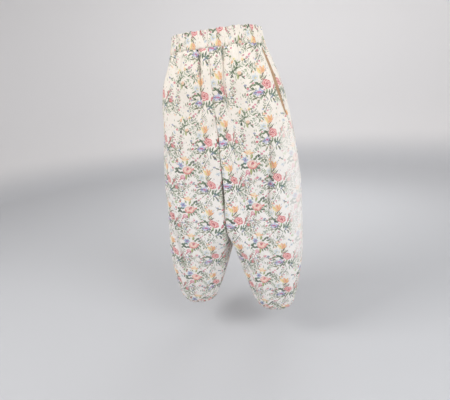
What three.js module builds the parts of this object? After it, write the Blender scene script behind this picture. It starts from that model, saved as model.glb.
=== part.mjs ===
// Pull-on barrel leg trousers in a light cotton, holding their worn, hollow form.
// Millimetres. +X is the wearer's left, -Y the front, +Z up.
// The origin is the centre of the waist opening, level with the top of the waistband at the sides.
import * as THREE from 'three';

// Driving dimensions
const BAND_DEPTH = 50;             // elastic casing at the waist
const HEM_TOP = 976;               // drop from the origin to the seam of the hem casing
const HEM_EDGE = 990;              // drop to the lower edge of the garment
const CLOTH = 1.6;                 // wall of one layer of cloth
const CASING = 3;                  // wall of a casing: two layers with the elastic between
const SEAM_GAP = 0.3;              // gap between pieces at a seam
const CROTCH = 350;                // drop to the meeting point of the four panels
const RISE = 248;                  // drop at which the crotch seam leaves the centre front and back
const WAIST_SLOPE = 0.07;          // the waist dips at the front and rises at the back
const ROUNDNESS = 2.25;            // exponent of the outer quarters of a section
const POCKET = { top: 60, end: 268, frontSpans: 3, backSpans: 2 };
const POCKET_INSET = 2.4;          // depth of the pocket piece under the outside of the panels
const POCKET_GAPE = 8;             // how far the opening edge stands off the side seam

// Half sections of the trousers, one leg with its half of the seat. Sizes are across the outside of
// the cloth: inner wall, ridge (the deepest line) and outermost line from the centre plane, front and
// back from the side plane, the side seam's place, the corner at the inner wall, and the hips' sway.
const SECTION_COLUMNS = ['drop', 'inner', 'ridge', 'outer', 'front', 'back', 'seam', 'corner', 'sway'];
const SECTIONS = [
  [0, 0, 60, 142, -98, 98, -40, 0, 0],
  [50, 0, 62, 153, -106, 106, -44, 0, 1],
  [100, 0, 66, 175, -118, 122, -48, 0, 2],
  [150, 0, 70, 194, -124, 132, -50, 0, 3],
  [200, 0, 75, 207, -126, 138, -50, 0, 5],
  [270, 0, 86, 221, -126, 138, -44, 6, 8],
  [350, 0.2, 98, 235, -124, 133, -30, 26, 10],
  [450, 0.6, 109, 245, -123, 126, -12, 40, 10],
  [550, 1.2, 119, 253, -123, 123, -2, 54, 9],
  [650, 2, 129, 258, -122, 122, 0, 70, 9],
  [730, 7, 136, 260, -121, 121, 0, 85, 8],
  [800, 21, 142, 258, -117, 117, 0, 95, 6],
  [850, 35, 146, 254, -112, 112, 0, 100, 4],
  [900, 53, 150, 249, -102, 102, 0, 100, 3],
  [940, 68, 153, 242, -91, 91, 0, 95, 1],
  [965, 78, 155, 235, -82, 82, 0, 85, 0],
  [980, 86, 155, 227, -73, 73, 0, 75, 0],
  [990, 92, 155, 218, -64, 64, 0, 66, 0],
];

// The largest folds that fall from the gathered waist and hang in the legs. side: 1 wearer's left,
// -1 right. face: front or back. from and to: drops. at and end: distance from the ridge line at the
// top and the bottom, outwards positive. width, rise (a trough where it is negative), and skew: under
// 1 for a fold that hangs from the band and is deepest near its top.
const FOLD_COLUMNS = ['side', 'face', 'from', 'to', 'at', 'end', 'width', 'rise', 'skew'];
const FOLDS = [
  [1, 'front', 51, 310, -22, -44, 34, -6, 0.45],
  [-1, 'front', 51, 290, -20, -40, 34, -6, 0.45],
  [1, 'front', 51, 250, 8, 12, 40, 4, 0.45],
  [-1, 'front', 51, 230, 10, 14, 40, 4, 0.45],
  [1, 'front', 300, 660, 62, 38, 46, -5, 1],
  [-1, 'front', 640, 930, 52, 30, 44, -4, 1],
  [1, 'back', 51, 330, 4, 10, 44, -6, 0.45],
  [-1, 'back', 51, 300, -6, 2, 44, -6, 0.45],
  [1, 'back', 51, 240, 62, 70, 40, 4, 0.45],
  [-1, 'back', 51, 260, 58, 66, 40, 4, 0.45],
  [1, 'back', 420, 760, 34, 20, 50, -5, 1],
  [-1, 'back', 460, 800, 30, 18, 50, -5, 1],
];

const cotton = (color, roughness) => new THREE.MeshStandardMaterial({ color, roughness, metalness: 0 });
const PRINTED = 0xf1e7d8;
const CASED = 0xf4ead6;
const POCKETING = 0xe2d2b8;

const SIDES = { left: 1, right: -1 };
const FACES = { front: -1, back: 1 };
const INNER_SPANS = 8;             // columns of a panel from its inner edge to the ridge line
const OUTER_SPANS = 8;             // columns from the ridge line to the side seam
const ARC_STEPS = 12;              // steps of a quarter round
const BAND_ROWS = [0, BAND_DEPTH / 2, BAND_DEPTH];
const HEM_ROWS = [HEM_TOP + SEAM_GAP, (HEM_TOP + HEM_EDGE) / 2, HEM_EDGE];

const table = (columns, rows) => rows.map((row) => Object.fromEntries(columns.map((c, i) => [c, row[i]])));
const sections = table(SECTION_COLUMNS, SECTIONS);
const folds = table(FOLD_COLUMNS, FOLDS);

/** Smooth value of one column of the section table at a drop. */
function sized(column, drop) {
  const last = sections.length - 1;
  const d = Math.min(Math.max(drop, sections[0].drop), sections[last].drop);
  let k = 0;
  while (k < last - 1 && sections[k + 1].drop <= d) k += 1;
  const slope = (i) => {
    const a = sections[Math.max(i - 1, 0)];
    const b = sections[Math.min(i + 1, last)];
    return (b[column] - a[column]) / (b.drop - a.drop);
  };
  const [a, b] = [sections[k], sections[k + 1]];
  const h = b.drop - a.drop;
  const t = (d - a.drop) / h;
  const ends = (2 * t ** 3 - 3 * t ** 2 + 1) * a[column] + (3 * t ** 2 - 2 * t ** 3) * b[column];
  const turns = (t ** 3 - 2 * t ** 2 + t) * h * slope(k) + (t ** 3 - t ** 2) * h * slope(k + 1);
  return ends + turns;
}

/** Distance of the crotch seam from the side plane at a drop: 0 where the four panels meet. */
function crotchReach(face, drop) {
  if (drop >= CROTCH) return 0;
  const fall = Math.max((drop - RISE) / (CROTCH - RISE), 0);
  return Math.abs(sized(face, drop)) * Math.sqrt(1 - fall ** 2);
}

/** Outline of one panel's section, from its inner edge past the ridge line to the side seam. */
function outline(face, drop, seamPlace = sized('seam', drop)) {
  const sign = FACES[face];
  const [ridge, outer] = [sized('ridge', drop), sized('outer', drop)];
  const depth = Math.abs(sized(face, drop));
  const otherDepth = Math.abs(sized(face === 'front' ? 'back' : 'front', drop));
  const inner = Math.max(sized('inner', drop), 0) + SEAM_GAP / 2;
  const reach = crotchReach(face, drop);
  const corner = Math.min(Math.max(sized('corner', drop), 0), depth - reach);
  const inside = [[inner, sign * reach]];
  for (let i = 0; i <= ARC_STEPS; i += 1) {
    const a = (i / ARC_STEPS) * (Math.PI / 2);
    inside.push([inner + corner * (1 - Math.cos(a)), sign * (depth - corner * (1 - Math.sin(a)))]);
  }
  inside.push([ridge, sign * depth]);
  const across = (out, full) => (
    ridge + (outer - ridge) * (1 - (out / full) ** ROUNDNESS) ** (1 / ROUNDNESS)
  );
  const end = sign * seamPlace;
  const outside = [];
  for (let i = 0; i <= 2 * ARC_STEPS; i += 1) {
    const out = depth * Math.cos((i / (2 * ARC_STEPS)) * (Math.PI / 2)) ** (2 / ROUNDNESS);
    if (out > Math.max(end, 0)) outside.push([across(out, depth), sign * out]);
  }
  outside.push([across(Math.max(end, 0), depth), sign * Math.max(end, 0)]);
  for (let i = 1; i <= 6 && end < 0; i += 1) {
    outside.push([across((-end * i) / 6, otherDepth), (sign * end * i) / 6]);
  }
  return { inside, outside };
}

/** Points spaced evenly along a polyline, its two ends drawn in by the given lengths. */
function spaced(points, spans, trimStart = 0, trimEnd = 0) {
  const run = [0];
  for (let i = 1; i < points.length; i += 1) {
    run.push(run[i - 1] + Math.hypot(points[i][0] - points[i - 1][0], points[i][1] - points[i - 1][1]));
  }
  const length = run[run.length - 1] - trimStart - trimEnd;
  const result = [];
  let k = 1;
  for (let i = 0; i <= spans; i += 1) {
    const s = trimStart + (length * i) / spans;
    while (k < points.length - 1 && run[k] < s) k += 1;
    const t = (s - run[k - 1]) / Math.max(run[k] - run[k - 1], 1e-9);
    result.push([0, 1].map((c) => points[k - 1][c] + t * (points[k][c] - points[k - 1][c])));
  }
  return { points: result, length };
}

/** How far the cloth stands off its section at a place, from the table of folds. */
function foldRise(side, face, drop, fromRidge) {
  let rise = 0;
  for (const fold of folds) {
    const t = (drop - fold.from) / (fold.to - fold.from);
    if (SIDES[side] !== fold.side || fold.face !== face || t <= 0 || t >= 1) continue;
    const fades = Math.sin(Math.PI * t ** fold.skew);
    const away = (fromRidge - fold.at - t * (fold.end - fold.at)) / (fold.width / 2);
    rise += fold.rise * fades * Math.exp(-away * away);
  }
  return rise;
}

/** How far the front panel's edge stands off the side seam along the pocket opening. */
function pocketGape(drop) {
  const t = (drop - POCKET.top) / (POCKET.end - POCKET.top);
  return t <= 0 || t >= 1 ? 0 : POCKET_GAPE * Math.sin(t * Math.PI) ** 0.6;
}

/** Place of a point of a half section: mirrored for the right leg, swayed, sloped and lifted. */
function placed(side, [across, along], drop, lift = 0) {
  const slope = WAIST_SLOPE * Math.max(1 - drop / CROTCH, 0);
  return new THREE.Vector3(SIDES[side] * across + sized('sway', drop), along + lift, slope * along - drop);
}

/** Direction of a line of points at one of them, from the neighbours that it has. */
function heading(points, i, wraps = false) {
  const n = points.length;
  const step = (a, b) => points[(b + n) % n].clone().sub(points[(a + n) % n]);
  if (wraps || (i > 0 && i < n - 1)) return step(i - 1, i + 1);
  const away = i === 0 ? 1 : -1;
  return step(i, i + away).multiplyScalar(4).sub(step(i, i + 2 * away)).multiplyScalar(away);
}

/** Copy of a grid of points sunk towards the garment's hollow, on the side that turn says. */
function sunk(grid, depth, turn, wraps = false) {
  return grid.map((row, r) => row.map((point, c) => {
    const down = heading(grid.map((line) => line[c]), r);
    const normal = down.cross(heading(row, c, wraps)).normalize();
    return point.clone().addScaledVector(normal, -turn * depth);
  }));
}

/** A closed wall between two grids of points, whose rows close on themselves where it wraps. */
function wall(outer, inner, turn, wraps = false) {
  const [rows, columns] = [outer.length, outer[0].length];
  const spans = wraps ? columns : columns - 1;
  const last = rows - 1;
  const positions = [...outer, ...inner].flatMap((row) => row.flatMap((point) => point.toArray()));
  const at = (layer, r, c) => (layer * rows + r) * columns + (c % columns);
  const index = [];
  const quad = (a, b, c, d) => (turn > 0 ? index.push(a, b, c, a, c, d) : index.push(a, c, b, a, d, c));
  for (let c = 0; c < spans; c += 1) {
    for (let r = 0; r < last; r += 1) {
      quad(at(0, r, c), at(0, r + 1, c), at(0, r + 1, c + 1), at(0, r, c + 1));
      quad(at(1, r, c), at(1, r, c + 1), at(1, r + 1, c + 1), at(1, r + 1, c));
    }
    quad(at(0, 0, c), at(0, 0, c + 1), at(1, 0, c + 1), at(1, 0, c));
    quad(at(0, last, c), at(1, last, c), at(1, last, c + 1), at(0, last, c + 1));
  }
  for (let r = 0; r < last && !wraps; r += 1) {
    quad(at(0, r, 0), at(1, r, 0), at(1, r + 1, 0), at(0, r + 1, 0));
    quad(at(0, r, spans), at(0, r + 1, spans), at(1, r + 1, spans), at(1, r, spans));
  }
  const geometry = new THREE.BufferGeometry();
  geometry.setAttribute('position', new THREE.Float32BufferAttribute(positions, 3));
  geometry.setIndex(index);
  geometry.computeVertexNormals();
  return geometry;
}

/** Drops of a panel's rows: even on the seat, crowded along the crotch curve and near the hem. */
function panelDrops() {
  const [seatRows, curveRows, legRows] = [5, 4, 12];
  const top = BAND_DEPTH + SEAM_GAP;
  const seat = Array.from({ length: seatRows }, (_, i) => top + ((RISE - top) * i) / seatRows);
  const curve = Array.from({ length: curveRows }, (_, i) => (
    RISE + (CROTCH - RISE) * Math.sin((i / curveRows) * (Math.PI / 2))
  ));
  const leg = Array.from({ length: legRows + 1 }, (_, i) => {
    const t = i / legRows;
    return CROTCH + (HEM_TOP - CROTCH) * (1.3 * t - 0.3 * t * t);
  });
  return [...seat, ...curve, ...leg];
}

/** A panel's row at a drop: each point of its section with its distance from the ridge line. */
function panelRow(face, drop, edgeTrim = 0, seamTrim = 0) {
  const { inside, outside } = outline(face, drop);
  const inner = spaced(inside, INNER_SPANS, edgeTrim);
  const outer = spaced(outside, OUTER_SPANS, 0, seamTrim);
  return [
    ...inner.points.slice(0, -1).map((p, i) => [p, (i / INNER_SPANS - 1) * inner.length]),
    ...outer.points.map((p, i) => [p, (i / OUTER_SPANS) * outer.length]),
  ];
}

/** One leg panel, front or back, from the waistband down to the hem casing. */
function legPanel(side, face) {
  const grid = panelDrops().map((drop) => {
    const gape = face === 'front' ? pocketGape(drop) : 0;
    const row = panelRow(face, drop, drop >= CROTCH ? SEAM_GAP / 2 : 0, SEAM_GAP / 2 + gape);
    return row.map(([point, fromRidge], i) => {
      const free = i > 0 && i < row.length - 1;
      return placed(side, point, drop, free ? FACES[face] * foldRise(side, face, drop, fromRidge) : 0);
    });
  });
  const turn = -SIDES[side] * FACES[face];
  return wall(grid, sunk(grid, CLOTH, turn), turn);
}

/** Half a section from the centre front, or the inseam, round the side to the back. */
function halfSection(drop) {
  const [front, back] = ['front', 'back'].map((face) => panelRow(face, drop).map(([point]) => point));
  return [...front, ...back.reverse().slice(1)];
}

/** The elastic casing at the waist: one strip, joined into a ring. */
function waistband() {
  const grid = BAND_ROWS.map((drop) => {
    const half = halfSection(drop);
    const left = half.map(([across, along], i) => [i % (half.length - 1) === 0 ? 0 : across, along]);
    return [
      ...left.map((point) => placed('left', point, drop)),
      ...left.slice(1, -1).reverse().map((point) => placed('right', point, drop)),
    ];
  });
  return wall(grid, sunk(grid, CASING, 1, true), 1, true);
}

/** The narrow gathered casing at the hem of one leg. */
function hemCasing(side) {
  const ring = (drop) => halfSection(drop).slice(0, -1);
  const grid = HEM_ROWS.map((drop) => ring(drop).map((point) => placed(side, point, drop)));
  return wall(grid, sunk(grid, CASING, SIDES[side], true), SIDES[side], true);
}

/** The pocket piece behind the opening, sewn to the band seam and lying under both panels. */
function pocketPiece(side) {
  const drops = panelDrops().filter((drop) => drop < POCKET.end);
  const grid = drops.map((drop) => {
    const [front, back] = ['front', 'back'].map((face) => panelRow(face, drop).map(([point]) => point));
    const underBack = back.slice(-1 - POCKET.backSpans, -1).reverse();
    const strip = [...front.slice(-1 - POCKET.frontSpans), ...underBack];
    return strip.map((point) => placed(side, point, drop));
  });
  const turn = SIDES[side];
  return wall(sunk(grid, POCKET_INSET, turn), sunk(grid, POCKET_INSET + CLOTH, turn), turn);
}

/** A named piece of the garment with its cloth. */
function piece(name, geometry, color, roughness) {
  const mesh = new THREE.Mesh(geometry, cotton(color, roughness));
  mesh.name = name;
  return mesh;
}

const trousers = new THREE.Group();
trousers.add(piece('waistband', waistband(), CASED, 0.85));
for (const side of Object.keys(SIDES)) {
  for (const face of Object.keys(FACES)) {
    trousers.add(piece(`${face}_${side}`, legPanel(side, face), PRINTED, 0.88));
  }
  trousers.add(piece(`hem_casing_${side}`, hemCasing(side), CASED, 0.88));
  trousers.add(piece(`pocket_${side}`, pocketPiece(side), POCKETING, 0.92));
}
export default trousers;
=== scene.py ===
"""Barrel leg trousers in a light printed cotton: their cloth, their stitching and the stage around them."""

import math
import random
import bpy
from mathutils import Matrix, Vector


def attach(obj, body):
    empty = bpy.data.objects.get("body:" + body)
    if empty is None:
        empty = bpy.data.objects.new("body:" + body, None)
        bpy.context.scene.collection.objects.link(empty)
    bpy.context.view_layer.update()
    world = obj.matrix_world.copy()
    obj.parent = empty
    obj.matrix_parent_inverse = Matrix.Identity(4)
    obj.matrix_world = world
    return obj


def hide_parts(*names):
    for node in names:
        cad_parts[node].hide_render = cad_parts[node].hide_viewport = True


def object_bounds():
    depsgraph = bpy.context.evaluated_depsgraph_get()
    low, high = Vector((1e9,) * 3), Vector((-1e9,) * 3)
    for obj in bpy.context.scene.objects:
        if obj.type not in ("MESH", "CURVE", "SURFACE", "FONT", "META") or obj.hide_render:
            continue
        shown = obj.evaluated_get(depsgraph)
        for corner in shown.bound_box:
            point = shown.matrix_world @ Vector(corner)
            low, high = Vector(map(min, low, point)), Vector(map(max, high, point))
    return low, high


bl_info = {
    "name": "Barrel Leg Trousers",
    "version": (1, 0, 0),
    "blender": (4, 5, 0),
    "location": "View3D > Sidebar > Trousers",
    "description": "Sews barrel leg trousers in printed cotton around their packed frame",
    "category": "Add Mesh",
}

import bpy
import numpy as np
from bpy.props import FloatProperty, FloatVectorProperty, PointerProperty
from bpy.types import Operator, Panel, PropertyGroup
from mathutils import Matrix, Vector

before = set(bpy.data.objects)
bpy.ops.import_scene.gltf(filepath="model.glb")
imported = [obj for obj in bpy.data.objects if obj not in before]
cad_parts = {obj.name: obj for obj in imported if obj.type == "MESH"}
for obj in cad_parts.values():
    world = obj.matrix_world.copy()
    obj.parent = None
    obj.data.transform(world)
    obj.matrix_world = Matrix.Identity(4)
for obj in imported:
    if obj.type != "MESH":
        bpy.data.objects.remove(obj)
CAD_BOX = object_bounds()

# ---------------------------------------------------------------- the cut, in millimetres
# +X is the wearer's left, -Y the front, +Z up. A drop is a distance down from the waist.

MM = 0.001
SIDES = {"left": 1.0, "right": -1.0}
FACES = {"front": -1.0, "back": 1.0}
OTHER_FACE = {"front": "back", "back": "front"}
BAND_EDGE = 50.0          # drop of the seam under the waist casing
HEM_TOP = 976.0           # drop of the seam over the hem casing
HEM_EDGE = 990.0          # drop of the garment's lower edge
SEAM_GAP = 0.3
CROTCH = 350.0            # drop at which the four panels meet
RISE = 248.0              # drop at which the crotch seam leaves the centre front and back
WAIST_SLOPE = 0.07        # the waist dips at the front and rises at the back
ROUNDNESS = 2.25          # exponent of the outer quarters of a section
POCKET_TOP = 60.0
POCKET_END = 268.0
POCKET_GAPE = 26.0        # how far the opening edge stands off the side seam

# Half sections of the garment: the inner wall, the ridge (the deepest line) and the outermost line
# from the centre plane, front and back from the side plane, the side seam's place, the corner at the
# inner wall, and the sway of the hips.
SECTION_COLUMNS = ("drop", "inner", "ridge", "outer", "front", "back", "seam", "corner", "sway")
SECTIONS = np.array([
    (0, 0, 60, 139, -98, 98, -40, 0, 0),
    (50, 0, 62, 153, -106, 106, -44, 0, 1),
    (100, 0, 66, 175, -118, 122, -48, 0, 2),
    (150, 0, 70, 194, -124, 132, -50, 0, 3),
    (200, 0, 75, 207, -126, 138, -50, 0, 5),
    (270, 0, 86, 221, -126, 138, -44, 6, 8),
    (350, 0.2, 98, 235, -124, 133, -30, 26, 10),
    (450, 0.6, 109, 245, -123, 126, -12, 40, 10),
    (550, 1.2, 119, 253, -123, 123, -2, 54, 9),
    (650, 1.6, 129, 258, -122, 122, 0, 72, 9),
    (730, 9, 136, 260, -121, 121, 0, 85, 8),
    (800, 25, 142, 258, -117, 117, 0, 95, 6),
    (850, 38, 146, 254, -112, 112, 0, 100, 4),
    (900, 53, 150, 249, -102, 102, 0, 100, 3),
    (940, 68, 153, 242, -91, 91, 0, 95, 1),
    (965, 78, 155, 235, -82, 82, 0, 85, 0),
    (980, 86, 155, 227, -73, 73, 0, 75, 0),
    (990, 92, 155, 218, -64, 64, 0, 66, 0),
], float)

# The creases, listed one by one. from and to: drops. at and end: distance from the ridge line at the top and
# the bottom, outwards positive. rise is a trough where it is negative. skew under 1 puts the deepest
# part near the top. bow swings the middle sideways, and edge is 2 for a soft fold, less for a hard one.
CREASE_COLUMNS = ("start", "stop", "at", "end", "width", "rise", "skew", "bow", "edge")
CREASES = {
    ("left", "front"): [
        (51, 318, -22, -45, 34, -2.6, 0.45, 0, 2.0),
        (51, 300, -22, -44, 12, -5.2, 0.42, 2, 1.5),
        (51, 262, -13, -33, 15, 3.2, 0.42, 2, 1.8),
        (51, 230, -37, -55, 16, 2.0, 0.5, 0, 2.0),
        (51, 250, 8, 12, 34, 3.0, 0.45, 0, 2.0),
        (51, 172, 22, 19, 11, -3.0, 0.5, 1, 1.6),
        (51, 205, 44, 40, 15, -2.8, 0.5, -2, 1.8),
        (51, 150, 60, 66, 14, 2.4, 0.5, 0, 2.0),
        (51, 128, 78, 88, 12, -2.6, 0.5, 0, 1.7),
        (286, 680, 60, 18, 40, -4.6, 1.0, 3, 2.0),
        (292, 668, 69, 25, 15, -6.8, 0.95, 4, 1.4),
        (310, 650, 38, -4, 28, 2.4, 1.0, 3, 2.0),
        (322, 610, 84, 44, 24, 1.8, 0.9, 3, 2.0),
        (292, 345, 92, 46, 12, -2.2, 1.0, -3, 1.8),
        (228, 318, 126, 96, 12, -2.6, 0.8, 4, 1.7),
        (240, 300, 112, 92, 11, 2.0, 0.8, 3, 1.8),
        (256, 352, 136, 130, 12, -2.4, 0.8, 0, 1.7),
        (236, 395, -84, -52, 26, -2.6, 1.0, -4, 1.8),
        (262, 420, -66, -34, 24, 1.8, 1.0, -4, 2.0),
        (368, 610, -128, -96, 34, -3.0, 1.0, 6, 2.0),
        (420, 700, -60, -66, 44, -2.4, 1.0, -6, 2.0),
        (560, 905, -28, -12, 38, -2.6, 1.1, 5, 2.0),
        (640, 952, 64, 40, 30, -2.8, 1.2, -3, 1.8),
        (690, 965, 88, 66, 26, 2.4, 1.2, 2, 2.0),
        (700, 960, -90, -62, 28, -3.2, 1.2, 4, 1.8),
        (770, 968, 8, 12, 22, -2.6, 1.3, 2, 1.7),
        (800, 970, -46, -40, 20, 2.4, 1.3, 0, 1.9),
    ],
    ("right", "front"): [
        (51, 296, -24, -41, 34, -2.6, 0.45, 0, 2.0),
        (51, 286, -27, -42, 12, -5.0, 0.42, -2, 1.5),
        (51, 240, -17, -31, 15, 3.0, 0.42, 0, 1.8),
        (51, 214, -42, -54, 15, 2.0, 0.5, 0, 2.0),
        (51, 230, 10, 14, 36, 2.8, 0.45, 0, 2.0),
        (51, 160, 26, 30, 12, -3.2, 0.5, -1, 1.6),
        (51, 190, 50, 47, 16, -2.4, 0.5, 2, 1.9),
        (51, 142, 68, 76, 13, 2.6, 0.5, 0, 2.0),
        (51, 120, 88, 99, 12, -2.4, 0.5, 0, 1.8),
        (230, 372, -82, -54, 26, -2.4, 1.0, -4, 1.8),
        (250, 400, -64, -38, 22, 1.6, 1.0, -4, 2.0),
        (330, 560, 34, 20, 40, -2.2, 1.0, 4, 2.0),
        (376, 640, -126, -92, 36, -3.0, 1.0, 7, 2.0),
        (410, 690, -44, -56, 46, -2.2, 1.0, 5, 2.0),
        (500, 930, 86, 32, 44, -3.4, 1.0, 5, 2.0),
        (516, 915, 86, 34, 15, -6.4, 1.05, 6, 1.4),
        (540, 900, 68, 18, 26, 2.2, 1.0, 5, 2.0),
        (620, 920, -10, -20, 36, -2.6, 1.1, -4, 2.0),
        (700, 960, -98, -70, 30, -3.0, 1.2, 5, 1.8),
        (742, 966, -58, -52, 22, 2.4, 1.3, 0, 1.9),
        (780, 968, 10, 2, 22, -2.6, 1.3, 0, 1.7),
        (810, 970, 74, 66, 20, -2.4, 1.3, 0, 1.8),
    ],
    ("left", "back"): [
        (51, 330, 4, 10, 38, -3.0, 0.45, 0, 2.0),
        (51, 300, 2, 10, 14, -3.8, 0.45, 2, 1.5),
        (51, 258, 20, 30, 18, 2.6, 0.45, 2, 1.9),
        (51, 245, -22, -26, 18, 2.6, 0.5, 0, 2.0),
        (51, 214, -38, -46, 12, -3.2, 0.45, 0, 1.6),
        (51, 240, 62, 70, 30, 3.0, 0.45, 0, 2.0),
        (51, 190, 46, 52, 12, -2.8, 0.5, 0, 1.7),
        (51, 156, 88, 98, 12, -2.6, 0.5, 0, 1.8),
        (250, 420, -92, -50, 28, -3.0, 1.0, -5, 1.8),
        (272, 452, -72, -34, 24, 2.0, 1.0, -5, 2.0),
        (322, 470, -112, -60, 24, -2.4, 0.9, -5, 1.8),
        (420, 760, 36, 18, 46, -2.8, 1.0, 0, 2.0),
        (432, 740, 36, 20, 15, -2.4, 1.0, 3, 1.7),
        (400, 640, 84, 62, 34, -2.2, 1.0, -4, 2.0),
        (470, 720, -76, -60, 40, -2.8, 1.0, 4, 2.0),
        (640, 950, -24, -10, 34, -2.8, 1.2, 4, 1.9),
        (700, 962, 70, 52, 28, -3.0, 1.2, 0, 1.8),
        (730, 962, -88, -66, 26, -3.0, 1.2, 4, 1.8),
        (780, 968, 34, 30, 20, 2.4, 1.3, 0, 1.9),
    ],
    ("right", "back"): [
        (51, 300, -6, 2, 38, -3.0, 0.45, 0, 2.0),
        (51, 280, -4, 4, 14, -3.8, 0.45, -2, 1.5),
        (51, 236, 12, 22, 18, 2.6, 0.45, 0, 1.9),
        (51, 258, -26, -30, 18, 2.4, 0.5, 0, 2.0),
        (51, 206, -42, -48, 12, -3.0, 0.45, 0, 1.6),
        (51, 260, 58, 66, 30, 3.0, 0.45, 0, 2.0),
        (51, 176, 40, 44, 12, -2.8, 0.5, 0, 1.7),
        (51, 166, 82, 94, 13, -2.8, 0.5, 0, 1.8),
        (246, 405, -90, -54, 28, -3.0, 1.0, -5, 1.8),
        (264, 440, -74, -38, 24, 2.0, 1.0, -5, 2.0),
        (318, 455, -110, -64, 24, -2.2, 0.9, -5, 1.8),
        (460, 800, 32, 16, 46, -2.8, 1.0, 0, 2.0),
        (474, 780, 32, 18, 15, -2.4, 1.0, -3, 1.7),
        (388, 610, 88, 70, 34, -2.2, 1.0, -4, 2.0),
        (450, 740, -72, -64, 40, -2.6, 1.0, -4, 2.0),
        (660, 955, -34, -14, 34, -2.8, 1.2, 0, 1.9),
        (690, 958, 78, 58, 28, -2.8, 1.2, 3, 1.8),
        (750, 965, -92, -72, 24, -2.8, 1.2, 0, 1.8),
        (790, 970, 26, 24, 20, 2.2, 1.3, 0, 1.9),
    ],
}

# Gathers: spacing, depth and length of the puckers that leave each casing, shortest to longest.
GATHER_STEP = (8.0, 17.0)
GATHER_WIDTH = (6.5, 11.5)
GATHER_RISE = (1.4, 4.3)
GATHER_REACH = (34.0, 180.0)
GATHER_MEAN = 1.4         # average rise, taken off so that gathered cloth keeps its place
CENTRE_PUCKER = 1.1
RIPPLE_STEP, RIPPLE_WIDTH, RIPPLE_RISE = (3.8, 8.0), (2.8, 5.0), (1.4, 3.6)
HEM_STEP = (9.0, 18.0)
HEM_WIDTH = (7.0, 13.0)
HEM_RISE = (1.8, 4.6)
HEM_REACH = (20.0, 110.0)
HEM_MEAN = 1.2
HEM_RIPPLE_STEP, HEM_RIPPLE_WIDTH, HEM_RIPPLE_RISE = (4.5, 9.0), (3.0, 5.5), (0.6, 1.5)
ON_CASING = (1.0, 2.0)    # reach of puckers that end on their casing
INNER_SPAN = 62.0         # length of the waist seam inwards of the ridge line
OUTER_SPAN = 125.0        # and outwards of it
HEM_SPAN = 150.0          # length of half a hem on each side of the ridge line
SEEDS = {
    ("left", "front"): 11, ("right", "front"): 23, ("left", "back"): 37, ("right", "back"): 53,
}

DROPS = SECTIONS[:, 0]


def sized(column, drop):
    """Smooth value of one column of the section table at a drop, or at each of several."""
    values = SECTIONS[:, SECTION_COLUMNS.index(column)]
    d = np.clip(drop, DROPS[0], DROPS[-1])
    k = np.clip(np.searchsorted(DROPS, d, side="right") - 1, 0, len(DROPS) - 2)
    low, high = np.maximum(np.arange(len(DROPS)) - 1, 0), np.arange(len(DROPS)) + 1
    high = np.minimum(high, len(DROPS) - 1)
    slope = (values[high] - values[low]) / (DROPS[high] - DROPS[low])
    h = DROPS[k + 1] - DROPS[k]
    t = (d - DROPS[k]) / h
    ends = (2 * t**3 - 3 * t**2 + 1) * values[k] + (3 * t**2 - 2 * t**3) * values[k + 1]
    return ends + (t**3 - 2 * t**2 + t) * h * slope[k] + (t**3 - t**2) * h * slope[k + 1]


def smooth(low, high, value):
    """0 under low, 1 over high, and a soft step between."""
    t = np.clip((np.asarray(value, float) - low) / (high - low), 0.0, 1.0)
    return t * t * (3 - 2 * t)


def crotch_reach(face, drop):
    """Distance of the crotch seam from the side plane at a drop."""
    if drop >= CROTCH:
        return 0.0
    fall = max((drop - RISE) / (CROTCH - RISE), 0.0)
    return abs(float(sized(face, drop))) * math.sqrt(1 - fall**2)


def outline(face, drop):
    """One panel's section as two lines of points: inner edge to ridge, and ridge to side seam."""
    sign = FACES[face]
    ridge, outer = float(sized("ridge", drop)), float(sized("outer", drop))
    depth = abs(float(sized(face, drop)))
    other = abs(float(sized(OTHER_FACE[face], drop)))
    inner = max(float(sized("inner", drop)), 0.0) + SEAM_GAP / 2
    reach = crotch_reach(face, drop)
    corner = min(max(float(sized("corner", drop)), 0.0), depth - reach)
    turn = np.linspace(0.0, math.pi / 2, 40)
    wide = min(corner, ridge - inner - 1)
    arc = np.c_[inner + wide * (1 - np.cos(turn)), sign * (depth - corner * (1 - np.sin(turn)))]
    inside = np.vstack([[inner, sign * reach], arc, [ridge, sign * depth]])

    def across(out, full):
        """Distance of the outer curve from the centre plane."""
        return ridge + (outer - ridge) * (1 - (out / full) ** ROUNDNESS) ** (1 / ROUNDNESS)

    end = sign * float(sized("seam", drop))
    outs = depth * np.cos(np.linspace(0.0, math.pi / 2, 90)) ** (2 / ROUNDNESS)
    outs = np.append(outs[outs > max(end, 0.0) + 0.02], max(end, 0.0))
    outside = np.c_[across(np.minimum(outs, depth), depth), sign * outs]
    if end < 0:
        past = np.linspace(0.0, -end, 12)[1:]
        outside = np.vstack([outside, np.c_[across(past, other), -sign * past]])
    return inside, outside


def run_of(points):
    """Length along a line of points, at each of them."""
    return np.r_[0.0, np.cumsum(np.linalg.norm(np.diff(points, axis=0), axis=1))]


def along(points, where):
    """Points of a line at given lengths along it."""
    run = run_of(points)
    return np.stack([np.interp(where, run, points[:, c]) for c in range(points.shape[1])], 1)


def placed(side, flat, drop):
    """Points of a half section in the garment: mirrored for the right leg, swayed and sloped."""
    slope = WAIST_SLOPE * max(1 - drop / CROTCH, 0.0)
    x = SIDES[side] * flat[:, 0] + float(sized("sway", drop))
    return np.c_[x, flat[:, 1], slope * flat[:, 1] - drop]


def grid_normals(points, outward):
    """Unit normals of a grid of points, turned to the side that outward points to."""
    down = np.gradient(points, axis=0)
    over = np.gradient(points, axis=1)
    normals = np.cross(down, over)
    normals /= np.maximum(np.linalg.norm(normals, axis=2, keepdims=True), 1e-9)
    middle = tuple(n // 2 for n in points.shape[:2])
    return normals if (normals[middle] * outward[middle]).sum() > 0 else -normals


# ---------------------------------------------------------------- folds, gathers and seams


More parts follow.
